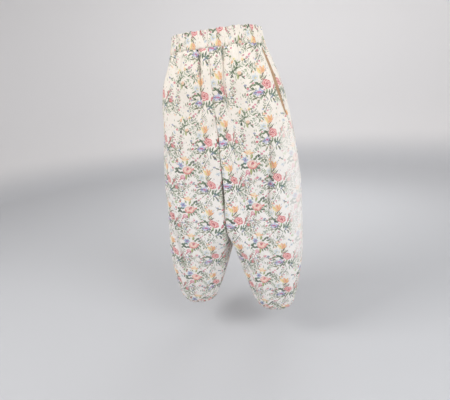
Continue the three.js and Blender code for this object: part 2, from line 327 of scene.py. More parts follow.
def crease_rise(side, face, drop, from_ridge):
    """Rise of the listed creases at places of one panel."""
    rise = np.zeros_like(from_ridge)
    for row in CREASES[side, face]:
        c = dict(zip(CREASE_COLUMNS, row))
        t = np.clip((drop - c["start"]) / (c["stop"] - c["start"]), 0.0, 1.0)
        line = c["at"] + t * (c["end"] - c["at"]) + c["bow"] * np.sin(2.2 * math.pi * t)
        away = np.abs(from_ridge - line) / (c["width"] / 2)
        fade = np.sin(math.pi * t ** c["skew"]) ** 1.15
        rise += c["rise"] * fade * np.exp(-(away ** c["edge"]))
    return rise


def pucker_list(seed, low, high, step, width, rise, reach):
    """Uneven puckers between two places on a casing's seam: place, width, rise and length."""
    draw = random.Random(seed)
    found = []
    at = low + draw.uniform(*step) / 2
    while at < high:
        long = draw.random() ** 2.2
        found.append((
            at,
            draw.uniform(*width),
            draw.uniform(*rise) * (0.7 + 0.5 * long),
            reach[0] + (reach[1] - reach[0]) * long,
            draw.uniform(-4.0, 4.0),
        ))
        at += draw.uniform(*step)
    return found


def gather_rise(side, face, drop, place):
    """Rise of the gathers at the waist: on the casing, and fading down the panel below it."""
    puckers = pucker_list(SEEDS[side, face], -INNER_SPAN, OUTER_SPAN, GATHER_STEP, GATHER_WIDTH,
                          GATHER_RISE, GATHER_REACH)
    below = np.maximum(drop - BAND_EDGE, 0.0)
    above = np.clip(1 - drop / BAND_EDGE, 0.0, 1.0)
    rise = np.zeros_like(place)
    for at, width, high, reach, lean in puckers:
        t = np.clip(below / reach, 0.0, 1.0)
        line = at + lean * t - 0.5 * lean * above
        wide = width * (1 + 0.9 * t)
        fade = (1 - t) ** 1.3 * (0.72 + 0.5 * smooth(0.0, 0.3, t))
        fade = fade * (1 - 0.25 * np.sin(math.pi * above) + 0.25 * above)
        rise += high * fade * np.exp(-(((place - line) / (wide / 2)) ** 2))
    return rise - GATHER_MEAN * (1 - smooth(0.0, 120.0, below))


def casing_ripple(side, face, drop, place):
    """The finer puckers between the gathers, on the waist casing alone."""
    fine = pucker_list(SEEDS[side, face] + 5, -INNER_SPAN, OUTER_SPAN, RIPPLE_STEP, RIPPLE_WIDTH,
                       RIPPLE_RISE, ON_CASING)
    above = np.clip(1 - drop / BAND_EDGE, 0.0, 1.0)
    rise = np.zeros_like(place)
    for k, (at, width, high, _, lean) in enumerate(fine):
        middle = (0.15, 0.85, 0.5, 0.95, 0.05)[k % 5]
        span = np.exp(-(((above - middle) / 0.42) ** 2))
        line = at + lean * (above - 0.5)
        rise += high * span * np.exp(-(((place - line) / (width / 2)) ** 2))
    return rise


def hem_rise(side, face, drop, place):
    """Rise of the gathers at the hem: on its casing, and fading up the panel above it."""
    puckers = pucker_list(SEEDS[side, face] + 9, -HEM_SPAN, HEM_SPAN, HEM_STEP, HEM_WIDTH, HEM_RISE,
                          HEM_REACH)
    above = np.maximum(HEM_TOP - drop, 0.0)
    rise = np.zeros_like(place)
    for at, width, high, reach, lean in puckers:
        t = np.clip(above / reach, 0.0, 1.0)
        wide = width * (1 + 1.1 * t)
        fade = (1 - t) ** 1.3 * (0.75 + 0.5 * smooth(0.0, 0.3, t))
        rise += high * fade * np.exp(-(((place - at - lean * t) / (wide / 2)) ** 2))
    return rise - HEM_MEAN * (1 - smooth(0.0, 70.0, above))


def seam_place(share):
    """Place along the waist seam, from the ridge line, of a share of the span to its end."""
    return np.where(share < 0, share * INNER_SPAN, share * OUTER_SPAN)


def softness(side, face, drop, from_ridge):
    """The slow waves of hanging cloth, different in each panel."""
    k = SEEDS[side, face]
    a = np.sin(from_ridge / 23.0 + 1.7 * np.sin(drop / 131.0 + k) + k)
    b = np.sin(from_ridge / 13.5 - drop / 210.0 + 1.3 * np.sin(drop / 77.0 + 2 * k) + 2.3 * k)
    c = np.sin(drop / 43.0 + from_ridge / 61.0 + 1.1 * np.sin(from_ridge / 37.0 + k))
    d = np.sin(drop / 19.0 - from_ridge / 29.0 + 1.9 * np.sin(from_ridge / 21.0 + drop / 90.0 + k))
    return 0.9 * a + 0.6 * b + 0.5 * c + 0.25 * d


def seam_ripple(drop, phase):
    """Small puckers that both edges of a seam share."""
    return 0.28 * np.sin(drop / 2.1 + 1.4 * np.sin(drop / 17.0 + phase) + phase)


def pocket_gape(drop):
    """How far the front panel's edge stands off the side seam along the pocket opening."""
    t = np.clip((drop - POCKET_TOP) / (POCKET_END - POCKET_TOP), 0.0, 1.0)
    return POCKET_GAPE * np.sin(t * math.pi) ** 0.45


# ---------------------------------------------------------------- panels


def panel_drops():
    """Drops of a panel's rows, crowded at its seams, along the crotch curve and near the hem."""
    top = BAND_EDGE + SEAM_GAP
    near = top + np.array([0.0, 0.6, 1.4, 2.5, 4.0, 6.0, 8.5])
    seat = np.linspace(top + 11, RISE, 60, endpoint=False)
    curve = RISE + (CROTCH - RISE) * np.sin(np.linspace(0.0, math.pi / 2, 30, endpoint=False))
    leg = np.linspace(CROTCH, 925, 126, endpoint=False)
    low = np.linspace(925, HEM_TOP - 8.5, 20, endpoint=False)
    end = HEM_TOP - np.array([8.5, 6.0, 4.0, 2.5, 1.4, 0.6, 0.0])
    return np.r_[near, seat, curve, leg, low, end]


EDGE_STEPS = np.array([0.0, 0.5, 1.1, 1.9, 3.0, 4.6, 7.0])


class PanelGrid:
    """One leg panel's cloth as a grid of points, with each point's drop and distances."""

    def __init__(self, side, face, drops, inner_spans=60, outer_spans=56):
        self.side, self.face = side, face
        rows, marks = [], []
        for drop in drops:
            inside, outside = outline(face, drop)
            inner, outer = run_of(inside)[-1], run_of(outside)[-1]
            start = SEAM_GAP / 2 if drop >= CROTCH else 0.0
            gape = float(pocket_gape(drop)) if face == "front" else 0.0
            stop = outer - SEAM_GAP / 2 - gape
            a = np.r_[start + EDGE_STEPS, np.linspace(start + 10, inner, inner_spans)]
            b = np.r_[np.linspace(0, stop - 10, outer_spans)[1:], stop - EDGE_STEPS[::-1]]
            rows.append(placed(side, np.vstack([along(inside, a), along(outside, b)]), drop))
            where = np.r_[a - inner, b]
            corner = max(float(sized("corner", drop)), 0.1)
            straight = abs(float(sized(face, drop))) - crotch_reach(face, drop) - corner
            turned = (np.r_[a, b + inner] - straight) / (0.5 * math.pi * corner)
            marks.append(np.c_[
                np.full(len(where), drop), where, np.r_[a, b + inner] - start,
                np.r_[inner - a + stop, stop - b], np.where(where < 0, where / inner, where / outer),
                np.full(len(where), gape), np.clip(turned, 0.0, 1.0),
            ])
        self.base = np.array(rows)
        (self.drop, self.from_ridge, self.to_inner, self.to_outer, self.share, self.gape,
         self.turned) = np.moveaxis(np.array(marks), 2, 0)
        away = np.zeros_like(self.base)
        away[..., 1] = FACES[face]
        self.normals = grid_normals(self.base, away)
        self.place = seam_place(self.share)
        self.lift = self.rise()
        self.points = self.base + self.normals * self.lift[..., None]
        fall = np.exp(-(((self.drop - BAND_EDGE) / 9) ** 2))
        self.points[..., 2] += band_waver(self.place) * fall
        # The thighs press on each other, and neither passes the plane between them.
        across = SIDES[side] * (self.points[..., 0] - sized("sway", self.drop))
        self.points[..., 0] += SIDES[side] * np.maximum(SEAM_GAP / 2 - across, 0.0)

    def rise(self):
        """How far each point of the finished cloth stands off its plain section."""
        side, face, sizes = self.side, self.face, bpy.context.scene.trousers
        inward = smooth(0, 18, self.to_inner)
        outward = smooth(0, 18, self.to_outer + 4 * self.gape)
        hung = crease_rise(side, face, self.drop, self.from_ridge)
        hung += softness(side, face, self.drop, self.from_ridge) * smooth(52, 110, self.drop)
        rise = sizes.crease_strength * hung * inward * outward
        rise *= 1 - smooth(HEM_TOP - 22, HEM_TOP, self.drop)
        narrow = smooth(0, 7, self.to_inner) * smooth(0, 7, self.to_outer + 2 * self.gape)
        rise += sizes.gather_strength * gather_rise(side, face, self.drop, self.place) * narrow
        rise += sizes.gather_strength * hem_rise(side, face, self.drop, self.share * HEM_SPAN) * narrow
        rise += self.centre_valley() + self.inner_fullness()
        rise += self.seams(sizes.seam_depth / MM)
        return rise

    def centre_valley(self):
        """The cloth sinks between the legs, towards the crotch seam."""
        fall = smooth(60, 240, self.drop) * (1 - smooth(300, 430, self.drop))
        wide = 20 + 14 * smooth(60, 240, self.drop)
        across = np.abs(self.base[..., 0] - sized("sway", self.drop))
        depth = 6.5 if self.face == "front" else 8.0
        return -depth * fall * np.exp(-((across / wide) ** 2)) * np.abs(self.normals[..., 1]) ** 2

    def inner_fullness(self):
        """The thighs press on each other, which squares the cloth's inner corners."""
        full = smooth(270, 380, self.drop) * (1 - smooth(620, 765, self.drop))
        return 0.34 * sized("corner", self.drop) * full * np.sin(math.pi * self.turned) ** 2

    def seams(self, depth):
        """Each sewn edge turns in to its seam, and the pocket edge is a folded and lifted one."""
        pocket = smooth(0.3, 2.0, self.gape)
        level = self.normals[:, :1, 1] ** 2
        rise = -depth * level * np.exp(-((self.to_inner / 2.4) ** 2))
        rise -= depth * np.exp(-((self.to_outer / 2.4) ** 2)) * (1 - pocket)
        uneven = 0.7 + 0.3 * np.sin(self.place / 4.7 + 2 * np.sin(self.place / 13.0))
        rise -= 0.4 * depth * uneven * np.exp(-(((self.drop - BAND_EDGE) / 3.2) ** 2))
        rise -= depth * np.exp(-(((HEM_TOP - self.drop) / 2.6) ** 2))
        rise += seam_ripple(self.drop, 0.4) * np.exp(-self.to_inner / 6)
        rise += seam_ripple(self.drop, 2.9) * np.exp(-self.to_outer / 6) * (1 - pocket)
        lift = self.gape / POCKET_GAPE
        rise += 2.0 * lift * np.exp(-((self.to_outer / 15) ** 2))
        rise += 0.7 * lift * (1 - smooth(6.2, 7.6, self.to_outer))
        bend = np.clip(1 - self.to_outer / 1.9, 0.0, 1.0)
        return rise - pocket * 1.7 * (1 - np.sqrt(1 - bend**2))

    def sunk(self, drop, distances):
        """How deep the cloth sinks at a drop, at distances from its outer edge."""
        r = int(np.argmin(np.abs(self.drop[:, 0] - drop)))
        return -np.minimum(np.interp(-distances, -self.to_outer[r], self.lift[r]), 0.0)

    def line(self, drops, distance, raised=0.0):
        """Points of the cloth at a distance from the outer edge, at each of the given drops."""
        rows = self.drop[:, 0]
        spots = self.points + self.normals * raised
        at = np.array([
            [np.interp(-distance, -self.to_outer[r], spots[r, :, c]) for c in range(3)]
            for r in range(len(rows))
        ])
        return np.stack([np.interp(drops, rows, at[:, c]) for c in range(3)], 1)


# ---------------------------------------------------------------- meshes


def quads(rows, columns, flip, wrap=False):
    """Faces of a grid of points, whose rows close on themselves where it wraps."""
    r = np.arange(rows - 1)[:, None]
    c = np.arange(columns if wrap else columns - 1)[None, :]
    after = (c + 1) % columns
    a, b = r * columns + c, (r + 1) * columns + c
    d, e = r * columns + after, (r + 1) * columns + after
    corners = np.stack([a, b, e, d], -1).reshape(-1, 4)
    return corners[:, ::-1] if flip else corners


def add_mesh(name, points, faces, uv=None):
    """A new mesh object at the origin from points in millimetres, with the cloth's own flat map."""
    mesh = bpy.data.meshes.new(name)
    flat = np.asarray(points, float).reshape(-1, 3) * MM
    mesh.from_pydata(flat.tolist(), [], [list(map(int, f)) for f in faces])
    if uv is not None:
        layer = mesh.uv_layers.new(name="Cloth")
        at = np.zeros(len(mesh.loops), np.int32)
        mesh.loops.foreach_get("vertex_index", at)
        layer.uv.foreach_set("vector", (np.asarray(uv, float).reshape(-1, 2)[at] * MM)
                             .astype(np.float32).ravel())
    mesh.validate()
    mesh.update()
    piece = bpy.data.objects.new(name, mesh)
    bpy.context.scene.collection.objects.link(piece)
    return piece


def only(piece):
    """Makes a piece the one selected and active object."""
    bpy.ops.object.select_all(action="DESELECT")
    piece.select_set(True)
    bpy.context.view_layer.objects.active = piece


def thicken(piece, thickness):
    """Gives a sheet its thickness inwards, with the reverse of the cloth on its inner side."""
    only(piece)
    shell = piece.modifiers.new("Cloth thickness", "SOLIDIFY")
    shell.thickness = thickness
    shell.offset = -1
    shell.use_even_offset = False
    shell.use_rim = True
    shell.material_offset = 1
    bpy.ops.object.modifier_apply(modifier=shell.name)
    bpy.ops.object.shade_smooth_by_angle(angle=math.radians(50))


def looks_inwards(points, outward):
    """Does a grid's winding need turning for its faces to look outwards?"""
    r, c = middle = tuple(n // 2 for n in points.shape[:2])
    down = points[r + 1, c] - points[r, c]
    over = points[r, c + 1] - points[r, c]
    return np.cross(down, over) @ outward[middle] <= 0


def wear(piece, materials, nodes):
    """Gives a finished piece its materials, hangs it from the root, and hides the CAD nodes that it stands
    for.
    """
    for material in materials:
        piece.data.materials.append(material)
    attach(piece, "root")
    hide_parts(*nodes)


# ---------------------------------------------------------------- sewing the panels

PANELS = {}               # what is sewn so far, for the pockets and the stitching
# How far the print leans against the ridge line, the drop where it sits on it, how much lower it
# lies than on the pattern, and how much higher it runs at the outer side.
GRAIN = {"left": (-0.04, 402.0, 3.0, 7.0), "right": (0.06, 610.0, 14.0, 19.0)}
PLEAT_TAKE_UP = {"left": (25.0, 25.0), "right": (6.0, 10.0)}    # cloth hidden inwards of the pleats
FOLD_TAKE_UP = 11.0       # cloth hidden in the long fold of the left thigh


def panel_map(grid, fall):
    """A panel's flat map: the print follows the grain, and skips the cloth that its pleats hide."""
    lean, level, lower, raised = GRAIN[grid.side]
    across = -SIDES[grid.side] * FACES[grid.face] * grid.from_ridge - lean * (grid.drop - level)
    down = fall[:, None] - lower + raised * smooth(20, 110, grid.from_ridge)
    if grid.face == "front":
        always, above = PLEAT_TAKE_UP[grid.side]
        hidden = always + above * np.exp(-np.maximum(grid.drop - 200, 0) / 100)
        pleat = np.interp(grid.drop, (51, 300), (-22, -44))
        wide = 8 + 36 * smooth(230, 420, grid.drop)
        across -= SIDES[grid.side] * hidden * (1 - smooth(-1, 1, (grid.from_ridge - pleat) / wide))
    if (grid.side, grid.face) == ("left", "front"):
        line = np.interp(grid.drop, (300, 662), (68, 26))
        past = smooth(-6, 10, grid.from_ridge - line)
        across += FOLD_TAKE_UP * past * smooth(230, 340, grid.drop) * (1 - smooth(600, 740, grid.drop))
    return np.stack([across, -down], -1)


def panel_painted_highlight(grid):
    """Painted highlight: how far the print pales to its ground along the outer side of the left leg, where
    light glares on the cloth.
    """
    if grid.side != "left":
        return np.zeros_like(grid.drop)
    outer = smooth(88, 114, grid.from_ridge) if grid.face == "front" else 1 - smooth(20, 70, grid.to_outer)
    return 0.7 * outer * smooth(250, 340, grid.drop) * (1 - smooth(700, 860, grid.drop))


def sew_panel(side, face):
    """One leg panel, front or back."""
    grid = PanelGrid(side, face, panel_drops())
    PANELS[side, face] = grid
    ridge = np.argmin(np.abs(grid.from_ridge), axis=1)
    spine = grid.base[np.arange(len(ridge)), ridge]
    fall = BAND_EDGE + run_of(spine)
    uv = panel_map(grid, fall)
    rows, columns = grid.points.shape[:2]
    flip = looks_inwards(grid.points, grid.normals)
    piece = add_mesh(f"{face}_panel_{side}", grid.points, quads(rows, columns, flip), uv)
    # Each point's share of the painted highlight, the glare that pales the print.
    painted_highlight = piece.data.attributes.new("Painted highlight", "FLOAT", "POINT")
    painted_highlight.data.foreach_set("value", panel_painted_highlight(grid).astype(np.float32).ravel())
    wear(piece, [cloth("Printed cotton"), reverse_cloth()], [f"{face}_{side}"])
    thicken(piece, bpy.context.scene.trousers.cloth_thickness)
    return piece


# ---------------------------------------------------------------- casings

BAND_SPACING = (BAND_EDGE, 2.0)    # the drop at which a casing's points are spaced, and their spacing
HEM_SPACING = (HEM_TOP, 2.0)
NORMAL_REACH = 0.8        # how far up and down a casing's normals look


def half_ring(drop, spacing):
    """A half section from the centre front, or the inseam, round the side to the back."""
    parts, marks = [], []
    for face in ("front", "back"):
        inside, outside = outline(face, drop)
        inner, outer = run_of(inside)[-1], run_of(outside)[-1]
        nominal = np.array([run_of(x)[-1] for x in outline(face, spacing[0])])
        spans = np.maximum(np.round(nominal / spacing[1]).astype(int), 4)
        a, b = np.linspace(0, inner, spans[0] + 1), np.linspace(0, outer, spans[1] + 1)[1:]
        flat = np.vstack([along(inside, a), along(outside, b)])
        share = np.r_[a / inner - 1, b / outer]
        if face == "back":
            flat, share = flat[::-1][1:], share[::-1][1:]
        parts.append(flat)
        marks.append(share)
    return parts, marks


def casing_ring(drop, sides, spacing, weld):
    """Base points of a casing at a drop, with each point's side, face and share of its span."""
    points, shares, owners = [], [], []
    for side in sides:
        parts, marks = half_ring(drop, spacing)
        flat, share = np.vstack(parts), np.concatenate(marks)
        owner = [(side, "front")] * len(parts[0]) + [(side, "back")] * len(parts[1])
        if weld:
            flat[[0, -1], 0] = 0.0
        spots = placed(side, flat, drop)
        if side == "right" and weld:
            spots, share, owner = spots[::-1][1:-1], share[::-1][1:-1], owner[::-1][1:-1]
        points.append(spots)
        shares.append(share)
        owners += owner
    if not weld:
        points, shares, owners = [points[0][:-1]], [shares[0][:-1]], owners[:-1]
    return np.vstack(points), np.concatenate(shares), owners


def casing(profile, sides, spacing, weld, rise_of):
    """A casing's closed grid: profile gives (drop, depth inwards) round its cross-section."""
    rows, normals = [], []
    for drop, depth in profile:
        ring, share, owners = casing_ring(drop, sides, spacing, weld)
        above = casing_ring(drop - NORMAL_REACH, sides, spacing, weld)[0]
        below = casing_ring(drop + NORMAL_REACH, sides, spacing, weld)[0]
        over = np.roll(ring, -1, 0) - np.roll(ring, 1, 0)
        normal = np.cross(below - above, over)
        normal /= np.maximum(np.linalg.norm(normal, axis=1, keepdims=True), 1e-9)
        away = ring - ring.mean(0)
        normal *= np.sign((normal[:, :2] * away[:, :2]).sum())
        rise = np.zeros(len(ring))
        for owner in set(owners):
            mine = np.array([o == owner for o in owners])
            rise[mine] = rise_of(*owner, np.full(mine.sum(), float(drop)), share[mine])
        rows.append(ring + normal * (rise - depth)[:, None])
        normals.append(normal)
    return np.array(rows), np.array(normals)


def casing_mesh(name, grid, normals, row, uv):
    """A casing's mesh, closed round its length and its cross-section. One outer row sets its winding."""
    rows, columns = grid.shape[:2]
    corners = quads(rows, columns, False, wrap=True)
    last = np.arange(columns)
    after = (last + 1) % columns
    top = (rows - 1) * columns
    corners = np.vstack([corners, np.stack([top + last, last, after, top + after], -1)])
    face = np.cross(grid[row + 1, 1] - grid[row, 1], grid[row, 2] - grid[row, 1])
    if face @ normals[row, 1] < 0:
        corners = corners[:, ::-1]
    piece = add_mesh(name, grid, corners, uv)
    only(piece)
    bpy.ops.object.shade_smooth_by_angle(angle=math.radians(60))
    return piece


def casing_map(grid, spread, offset):
    """The cloth's flat map on a casing: round its length, where the gathers take up cloth, then over."""
    round_it = run_of(grid[0]) * spread + offset[0]
    over = run_of(grid[:, 0])
    return np.stack(np.broadcast_arrays(round_it[None, :], offset[1] - over[:, None]), -1)


def waist_profile(thickness):
    """Drops and depths round the waist casing's cross-section, from its seam over the top."""
    seam = [(49.8, 1.2), (49.4, 0.8), (48.4, 0.4), (47.0, 0.2), (45.0, 0.05)]
    outer = [(d, 0.0) for d in np.linspace(43.0, 2.4, 22)]
    turn = np.linspace(0.25, math.pi - 0.25, 7)
    top = [(1.4 - 1.4 * math.sin(a), thickness / 2 * (1 - math.cos(a))) for a in turn]
    inner = [(d, thickness) for d in np.linspace(2.6, 47.6, 14)]
    return seam + outer + top + inner + [(49.4, thickness - 0.4)]


def waist_rise(side, face, drop, share):
    """Rise of the cloth on the waist casing."""
    sizes = bpy.context.scene.trousers
    place = seam_place(share)
    rise = gather_rise(side, face, drop, place) + casing_ripple(side, face, drop, place)
    centre = 1 - smooth(0.0, 0.13, 1 + share)
    rise = rise * (1 - centre) + centre * CENTRE_PUCKER * np.cos(9 * math.pi * (1 + share))
    side_seam = 1 - smooth(0.0, 0.05, 1 - share)
    rise = rise * (1 - side_seam) - 0.7 * side_seam
    swell = 0.9 * np.sin(math.pi * np.clip(drop / BAND_EDGE, 0, 1))
    return sizes.gather_strength * rise + swell


def sew_waistband():
    """The elastic casing at the waist, joined into a ring."""
    sizes = bpy.context.scene.trousers
    profile = waist_profile(sizes.casing_thickness / MM)
    grid, normals = casing(profile, ("left", "right"), BAND_SPACING, True, waist_rise)
    drops = np.array([d for d, _ in profile])[:, None]
    ruffle = waist_ruffle(grid.shape[1])
    grid[..., 2] += ruffle * (1 - smooth(0, 9, drops))
    places = []
    for side in ("left", "right"):
        marks = np.concatenate(half_ring(BAND_EDGE, BAND_SPACING)[1])
        marks = marks if side == "left" else marks[::-1][1:-1]
        places.append(seam_place(marks))
    grid[..., 2] += band_waver(np.concatenate(places)) * np.exp(-(((BAND_EDGE - drops) / 9) ** 2))
    flat = casing_map(grid, spread=1.4, offset=(31, 18))
    piece = casing_mesh("waistband_casing", grid, normals, 12, flat)
    wear(piece, [cloth("Casing cotton")], ["waistband"])
    PANELS["band"] = grid, drops, normals
    return piece


def waist_ruffle(count):
    """Small ups and downs of the casing's top edge, uneven round the waist."""
    turn = np.linspace(0, 2 * math.pi, count, endpoint=False)
    wave = 0.8 * np.sin(61 * turn + 2.1 * np.sin(7 * turn))
    wave += 0.7 * np.sin(97 * turn + 1.7 * np.sin(11 * turn))
    return wave + 0.7 * np.sin(23 * turn + 1.2 * np.sin(5 * turn))


def band_waver(place):
    """Small ups and downs of the seam under the waist casing."""
    return 0.7 * np.sin(place / 3.1 + 1.6 * np.sin(place / 11.0)) + 0.5 * np.sin(place / 8.3 + 1.0)


def hem_profile(thickness):
    """Drops and depths round a hem casing's cross-section, from its seam down and under."""
    top = HEM_TOP + SEAM_GAP
    seam = [(top, 1.9), (top + 0.4, 1.2), (top + 1.1, 0.6), (top + 2.1, 0.2)]
    outer = [(d, 0.0) for d in np.linspace(top + 3.4, HEM_EDGE - 2.4, 7)]
    turn = np.linspace(0.2, math.pi - 0.2, 7)
    under = [(HEM_EDGE - 1.5 + 1.5 * math.sin(a), thickness / 2 * (1 - math.cos(a))) for a in turn]
    inner = [(d, thickness) for d in np.linspace(HEM_EDGE - 2.6, top + 1.6, 5)]
    return seam + outer + under + inner + [(top + 0.4, thickness - 0.4)]


def hem_casing_rise(side, face, drop, share):
    """Rise of the cloth on a hem casing."""
    sizes = bpy.context.scene.trousers
    fine = pucker_list(SEEDS[side, face] + 3, -HEM_SPAN, HEM_SPAN, HEM_RIPPLE_STEP, HEM_RIPPLE_WIDTH,
                       HEM_RIPPLE_RISE, ON_CASING)
    place = share * HEM_SPAN
    down = (drop - HEM_TOP) / (HEM_EDGE - HEM_TOP)
    rise = hem_rise(side, face, np.full_like(drop, HEM_TOP), place)
    rise *= smooth(0.0, 0.05, 1 - np.abs(share))
    for at, width, high, _, lean in fine:
        rise += high * np.exp(-(((place - at - lean * down) / (width / 2)) ** 2))
    return sizes.gather_strength * rise + 0.8 * np.sin(math.pi * np.clip(down, 0, 1))


def sew_hem(side):
    """The narrow gathered casing at the hem of one leg."""
    sizes = bpy.context.scene.trousers
    profile = hem_profile(sizes.casing_thickness / MM)
    grid, normals = casing(profile, (side,), HEM_SPACING, False, hem_casing_rise)
    drops = np.array([d for d, _ in profile])[:, None]
    turn = np.linspace(0, 2 * math.pi, grid.shape[1], endpoint=False) + SIDES[side]
    wave = 0.7 * np.sin(29 * turn + 2 * np.sin(5 * turn))
    wave += 0.4 * np.sin(53 * turn + 1.6 * np.sin(9 * turn))
    grid[..., 2] += wave * smooth(HEM_EDGE - 7, HEM_EDGE, drops)
    flat = casing_map(grid, spread=1.25, offset=(12, -1010))
    piece = casing_mesh(f"hem_casing_cloth_{side}", grid, normals, 7, flat)
    wear(piece, [cloth("Casing cotton")], [f"hem_casing_{side}"])
    PANELS["hem", side] = grid, drops, normals
    return piece


# ---------------------------------------------------------------- pockets


BAG_FRONT = 22            # points across a pocket bag under the front panel, up to the side seam
BAG_BACK = 12             # and under the back panel
BAG_TOP, BAG_END = 52.0, 266.0


def cover_depth(side, base, drops, seam):
    """How deep the cloth over a pocket bag sinks, so that the bag stays under it."""
    deep = []
    for row, drop in zip(base, drops):
        run = run_of(row)
        off = run - run[seam]
        gape = float(pocket_gape(drop))
        front = PANELS[side, "front"].sunk(drop, np.maximum(-off - gape, 0.0))
        back = PANELS[side, "back"].sunk(drop, np.maximum(off, 0.0))
        front = front * smooth(-4, 2, -off - gape) + 1.4 * smooth(4, 12, -off - gape)
        deep.append(np.where(off < 0, front, back * smooth(0, 3, off)))
    return np.array(deep)


def sew_pocket(side):
    """The pocket bag behind one opening, from under the front panel to the back panel's edge. Its tan cloth
    is painted shade.
    """
    drops = np.r_[50.8, np.linspace(54, BAG_END, 72)]
    rows = []
    for drop in drops:
        strips = []
        for face, share, count in (("front", 3 / 8, BAG_FRONT), ("back", 2 / 8, BAG_BACK)):
            outside = outline(face, drop)[1]
            outer = run_of(outside)[-1]
            where = np.linspace(outer - share * outer, outer, count)
            strip = placed(side, along(outside, where), drop)
            strips.append(strip if face == "front" else strip[::-1][1:])
        rows.append(np.vstack(strips))
    base = np.array(rows)
    away = np.zeros_like(base)
    away[..., 0] = SIDES[side]
    normals = grid_normals(base, away)
    seam = BAG_FRONT - 1
    off = np.arange(base.shape[1]) - seam
    drop = drops[:, None]
    hollow = np.sin(np.clip((drop - BAG_TOP) / (BAG_END - BAG_TOP), 0, 1) * math.pi) ** 0.6
    sink = 1.9 + 2.2 * hollow * np.exp(-(((off + 6.5) / 3.0) ** 2))
    low = smooth(196, 262, drop)
    bunched = 1 + np.sin(off * 1.9 + 1.6 * np.sin(drop / 9.0))
    sink = sink + 0.9 * low * bunched * smooth(11, 4, np.abs(off + 3))
    hung = 1 + np.sin(off * 0.55 + drop / 26.0 + 1.3 * np.sin(drop / 31.0))
    sink = sink + 0.8 * hollow * hung * smooth(16, 9, np.abs(off + 6))
    sink = sink + cover_depth(side, base, drops, seam)
    points = base - normals * sink[..., None]
    uv = np.stack(np.broadcast_arrays(off[None, :] * 2.6, -drop), -1)
    flip = looks_inwards(points, normals)
    piece = add_mesh(f"pocket_bag_{side}", points, quads(*points.shape[:2], flip), uv)
    wear(piece, [pocketing(), pocketing()], [f"pocket_{side}"])
    thicken(piece, bpy.context.scene.trousers.cloth_thickness)
    return piece


# ---------------------------------------------------------------- stitching


BAND_STITCH = 46.2        # drop of the stitches on the waist casing
HEM_STITCH = 979.6        # and on the hem casings
POCKET_STITCH = 5.2       # distance of the pocket's stitches from its edge
STITCH_RAISE = 0.12
STITCH_GAP = 0.9


def stitch_line(line, up, length, gap, radius):
    """Points and faces of a row of stitches along a line, each a short thread that dips at its ends."""
    run = run_of(line)
    starts = np.arange(gap, run[-1] - length, length + gap)
    points, faces = [], []
    for start in starts:
        along_it = start + length * np.array([0.0, 0.22, 0.78, 1.0])
        spine = np.stack([np.interp(along_it, run, line[:, c]) for c in range(3)], 1)
        rise = np.stack([np.interp(start + length / 2, run, up[:, c]) for c in range(3)])
        rise = rise / max(np.linalg.norm(rise), 1e-9)
        spine = spine + rise * np.array([-0.25, 0.22, 0.22, -0.25])[:, None]
        heading = spine[3] - spine[0]
        heading /= max(np.linalg.norm(heading), 1e-9)
        wide = np.cross(heading, rise)
        first = len(points)
        points.append(spine[0])
        for k in (1, 2):
            for turn in range(5):
                a = 2 * math.pi * turn / 5
                points.append(spine[k] + radius * (math.cos(a) * wide + math.sin(a) * rise))
        points.append(spine[3])
        for turn in range(5):
            after = (turn + 1) % 5
            faces.append((first, first + 1 + after, first + 1 + turn))
            faces.append((first + 1 + turn, first + 1 + after, first + 6 + after, first + 6 + turn))
            faces.append((first + 11, first + 6 + turn, first + 6 + after))
    return np.array(points), faces


def sew_line(name, lines):
    """One piece of stitching made of several rows, in the thread's material."""
    sizes = bpy.context.scene.trousers
    points, faces = [], []
    for line, up in lines:
        found, corners = stitch_line(line, up, sizes.stitch_length / MM, STITCH_GAP,
                                     sizes.thread_width / MM / 2)
        faces += [tuple(i + len(points) for i in corner) for corner in corners]
        points += found.tolist()
    piece = add_mesh(name, np.array(points), faces)
    piece.data.materials.append(thread())
    only(piece)
    bpy.ops.object.shade_smooth_by_angle(angle=math.radians(60))
    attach(piece, "root")
    return piece


def casing_line(key, drop, raised):
    """A closed line round a casing's outer side at a drop, and its outward directions."""
    grid, drops, normals = PANELS[key]
    rows = drops[:, 0]
    last = int(np.argmin(rows)) if key == "band" else int(np.argmax(rows))
    part = slice(0, last)
    order = np.argsort(rows[part])
    r = int(order[np.searchsorted(rows[part][order], drop).clip(0, len(order) - 1)])
    ring, up = grid[r] + normals[r] * raised, normals[r]
    return np.vstack([ring, ring[:1]]), np.vstack([up, up[:1]])


# ---------------------------------------------------------------- materials

PALETTE = {
    "coral": (218, 104, 112), "coral light": (250, 212, 206), "coral dark": (192, 80, 96),
    "blush": (246, 204, 190), "blush light": (253, 234, 220), "blush dark": (222, 124, 118),
    "rim": (228, 132, 126), "crimson": (208, 112, 122), "red": (222, 122, 118),
    "red pink": (222, 134, 146), "pink": (228, 156, 170), "pale pink": (238, 200, 202),
    "dusty pink": (208, 150, 160), "magenta": (198, 104, 150), "lilac": (186, 188, 218),
    "violet": (132, 134, 186), "violet light": (192, 196, 226), "violet dark": (98, 98, 152),
    "slate": (146, 160, 194), "slate light": (178, 192, 216), "slate dark": (98, 106, 156),
    "pale blue": (200, 209, 216), "pale blue light": (228, 232, 233), "pale blue dark": (170, 184, 198),
    "grey blue": (146, 154, 180), "grey lilac": (172, 166, 186), "ink": (44, 48, 56),
    "amber": (250, 216, 162), "yellow": (251, 228, 172), "orange": (242, 190, 148),
    "apricot": (250, 218, 184), "apricot light": (252, 228, 190), "apricot dark": (238, 176, 132),
    "peach": (244, 208, 180), "butter": (238, 224, 158), "leaf": (70, 110, 70),
    "deep leaf": (40, 76, 54), "mid leaf": (110, 138, 86), "sage": (138, 162, 126),
    "pale leaf": (186, 204, 158), "lime": (180, 190, 116), "olive": (130, 132, 92),
    "olive dark": (88, 88, 50), "teal": (78, 130, 118), "grey leaf": (128, 140, 110),
    "blue stem": (92, 116, 106), "amber dark": (240, 184, 122), "yellow dark": (246, 210, 146),
    "orange dark": (226, 156, 110), "butter dark": (224, 204, 130),
}

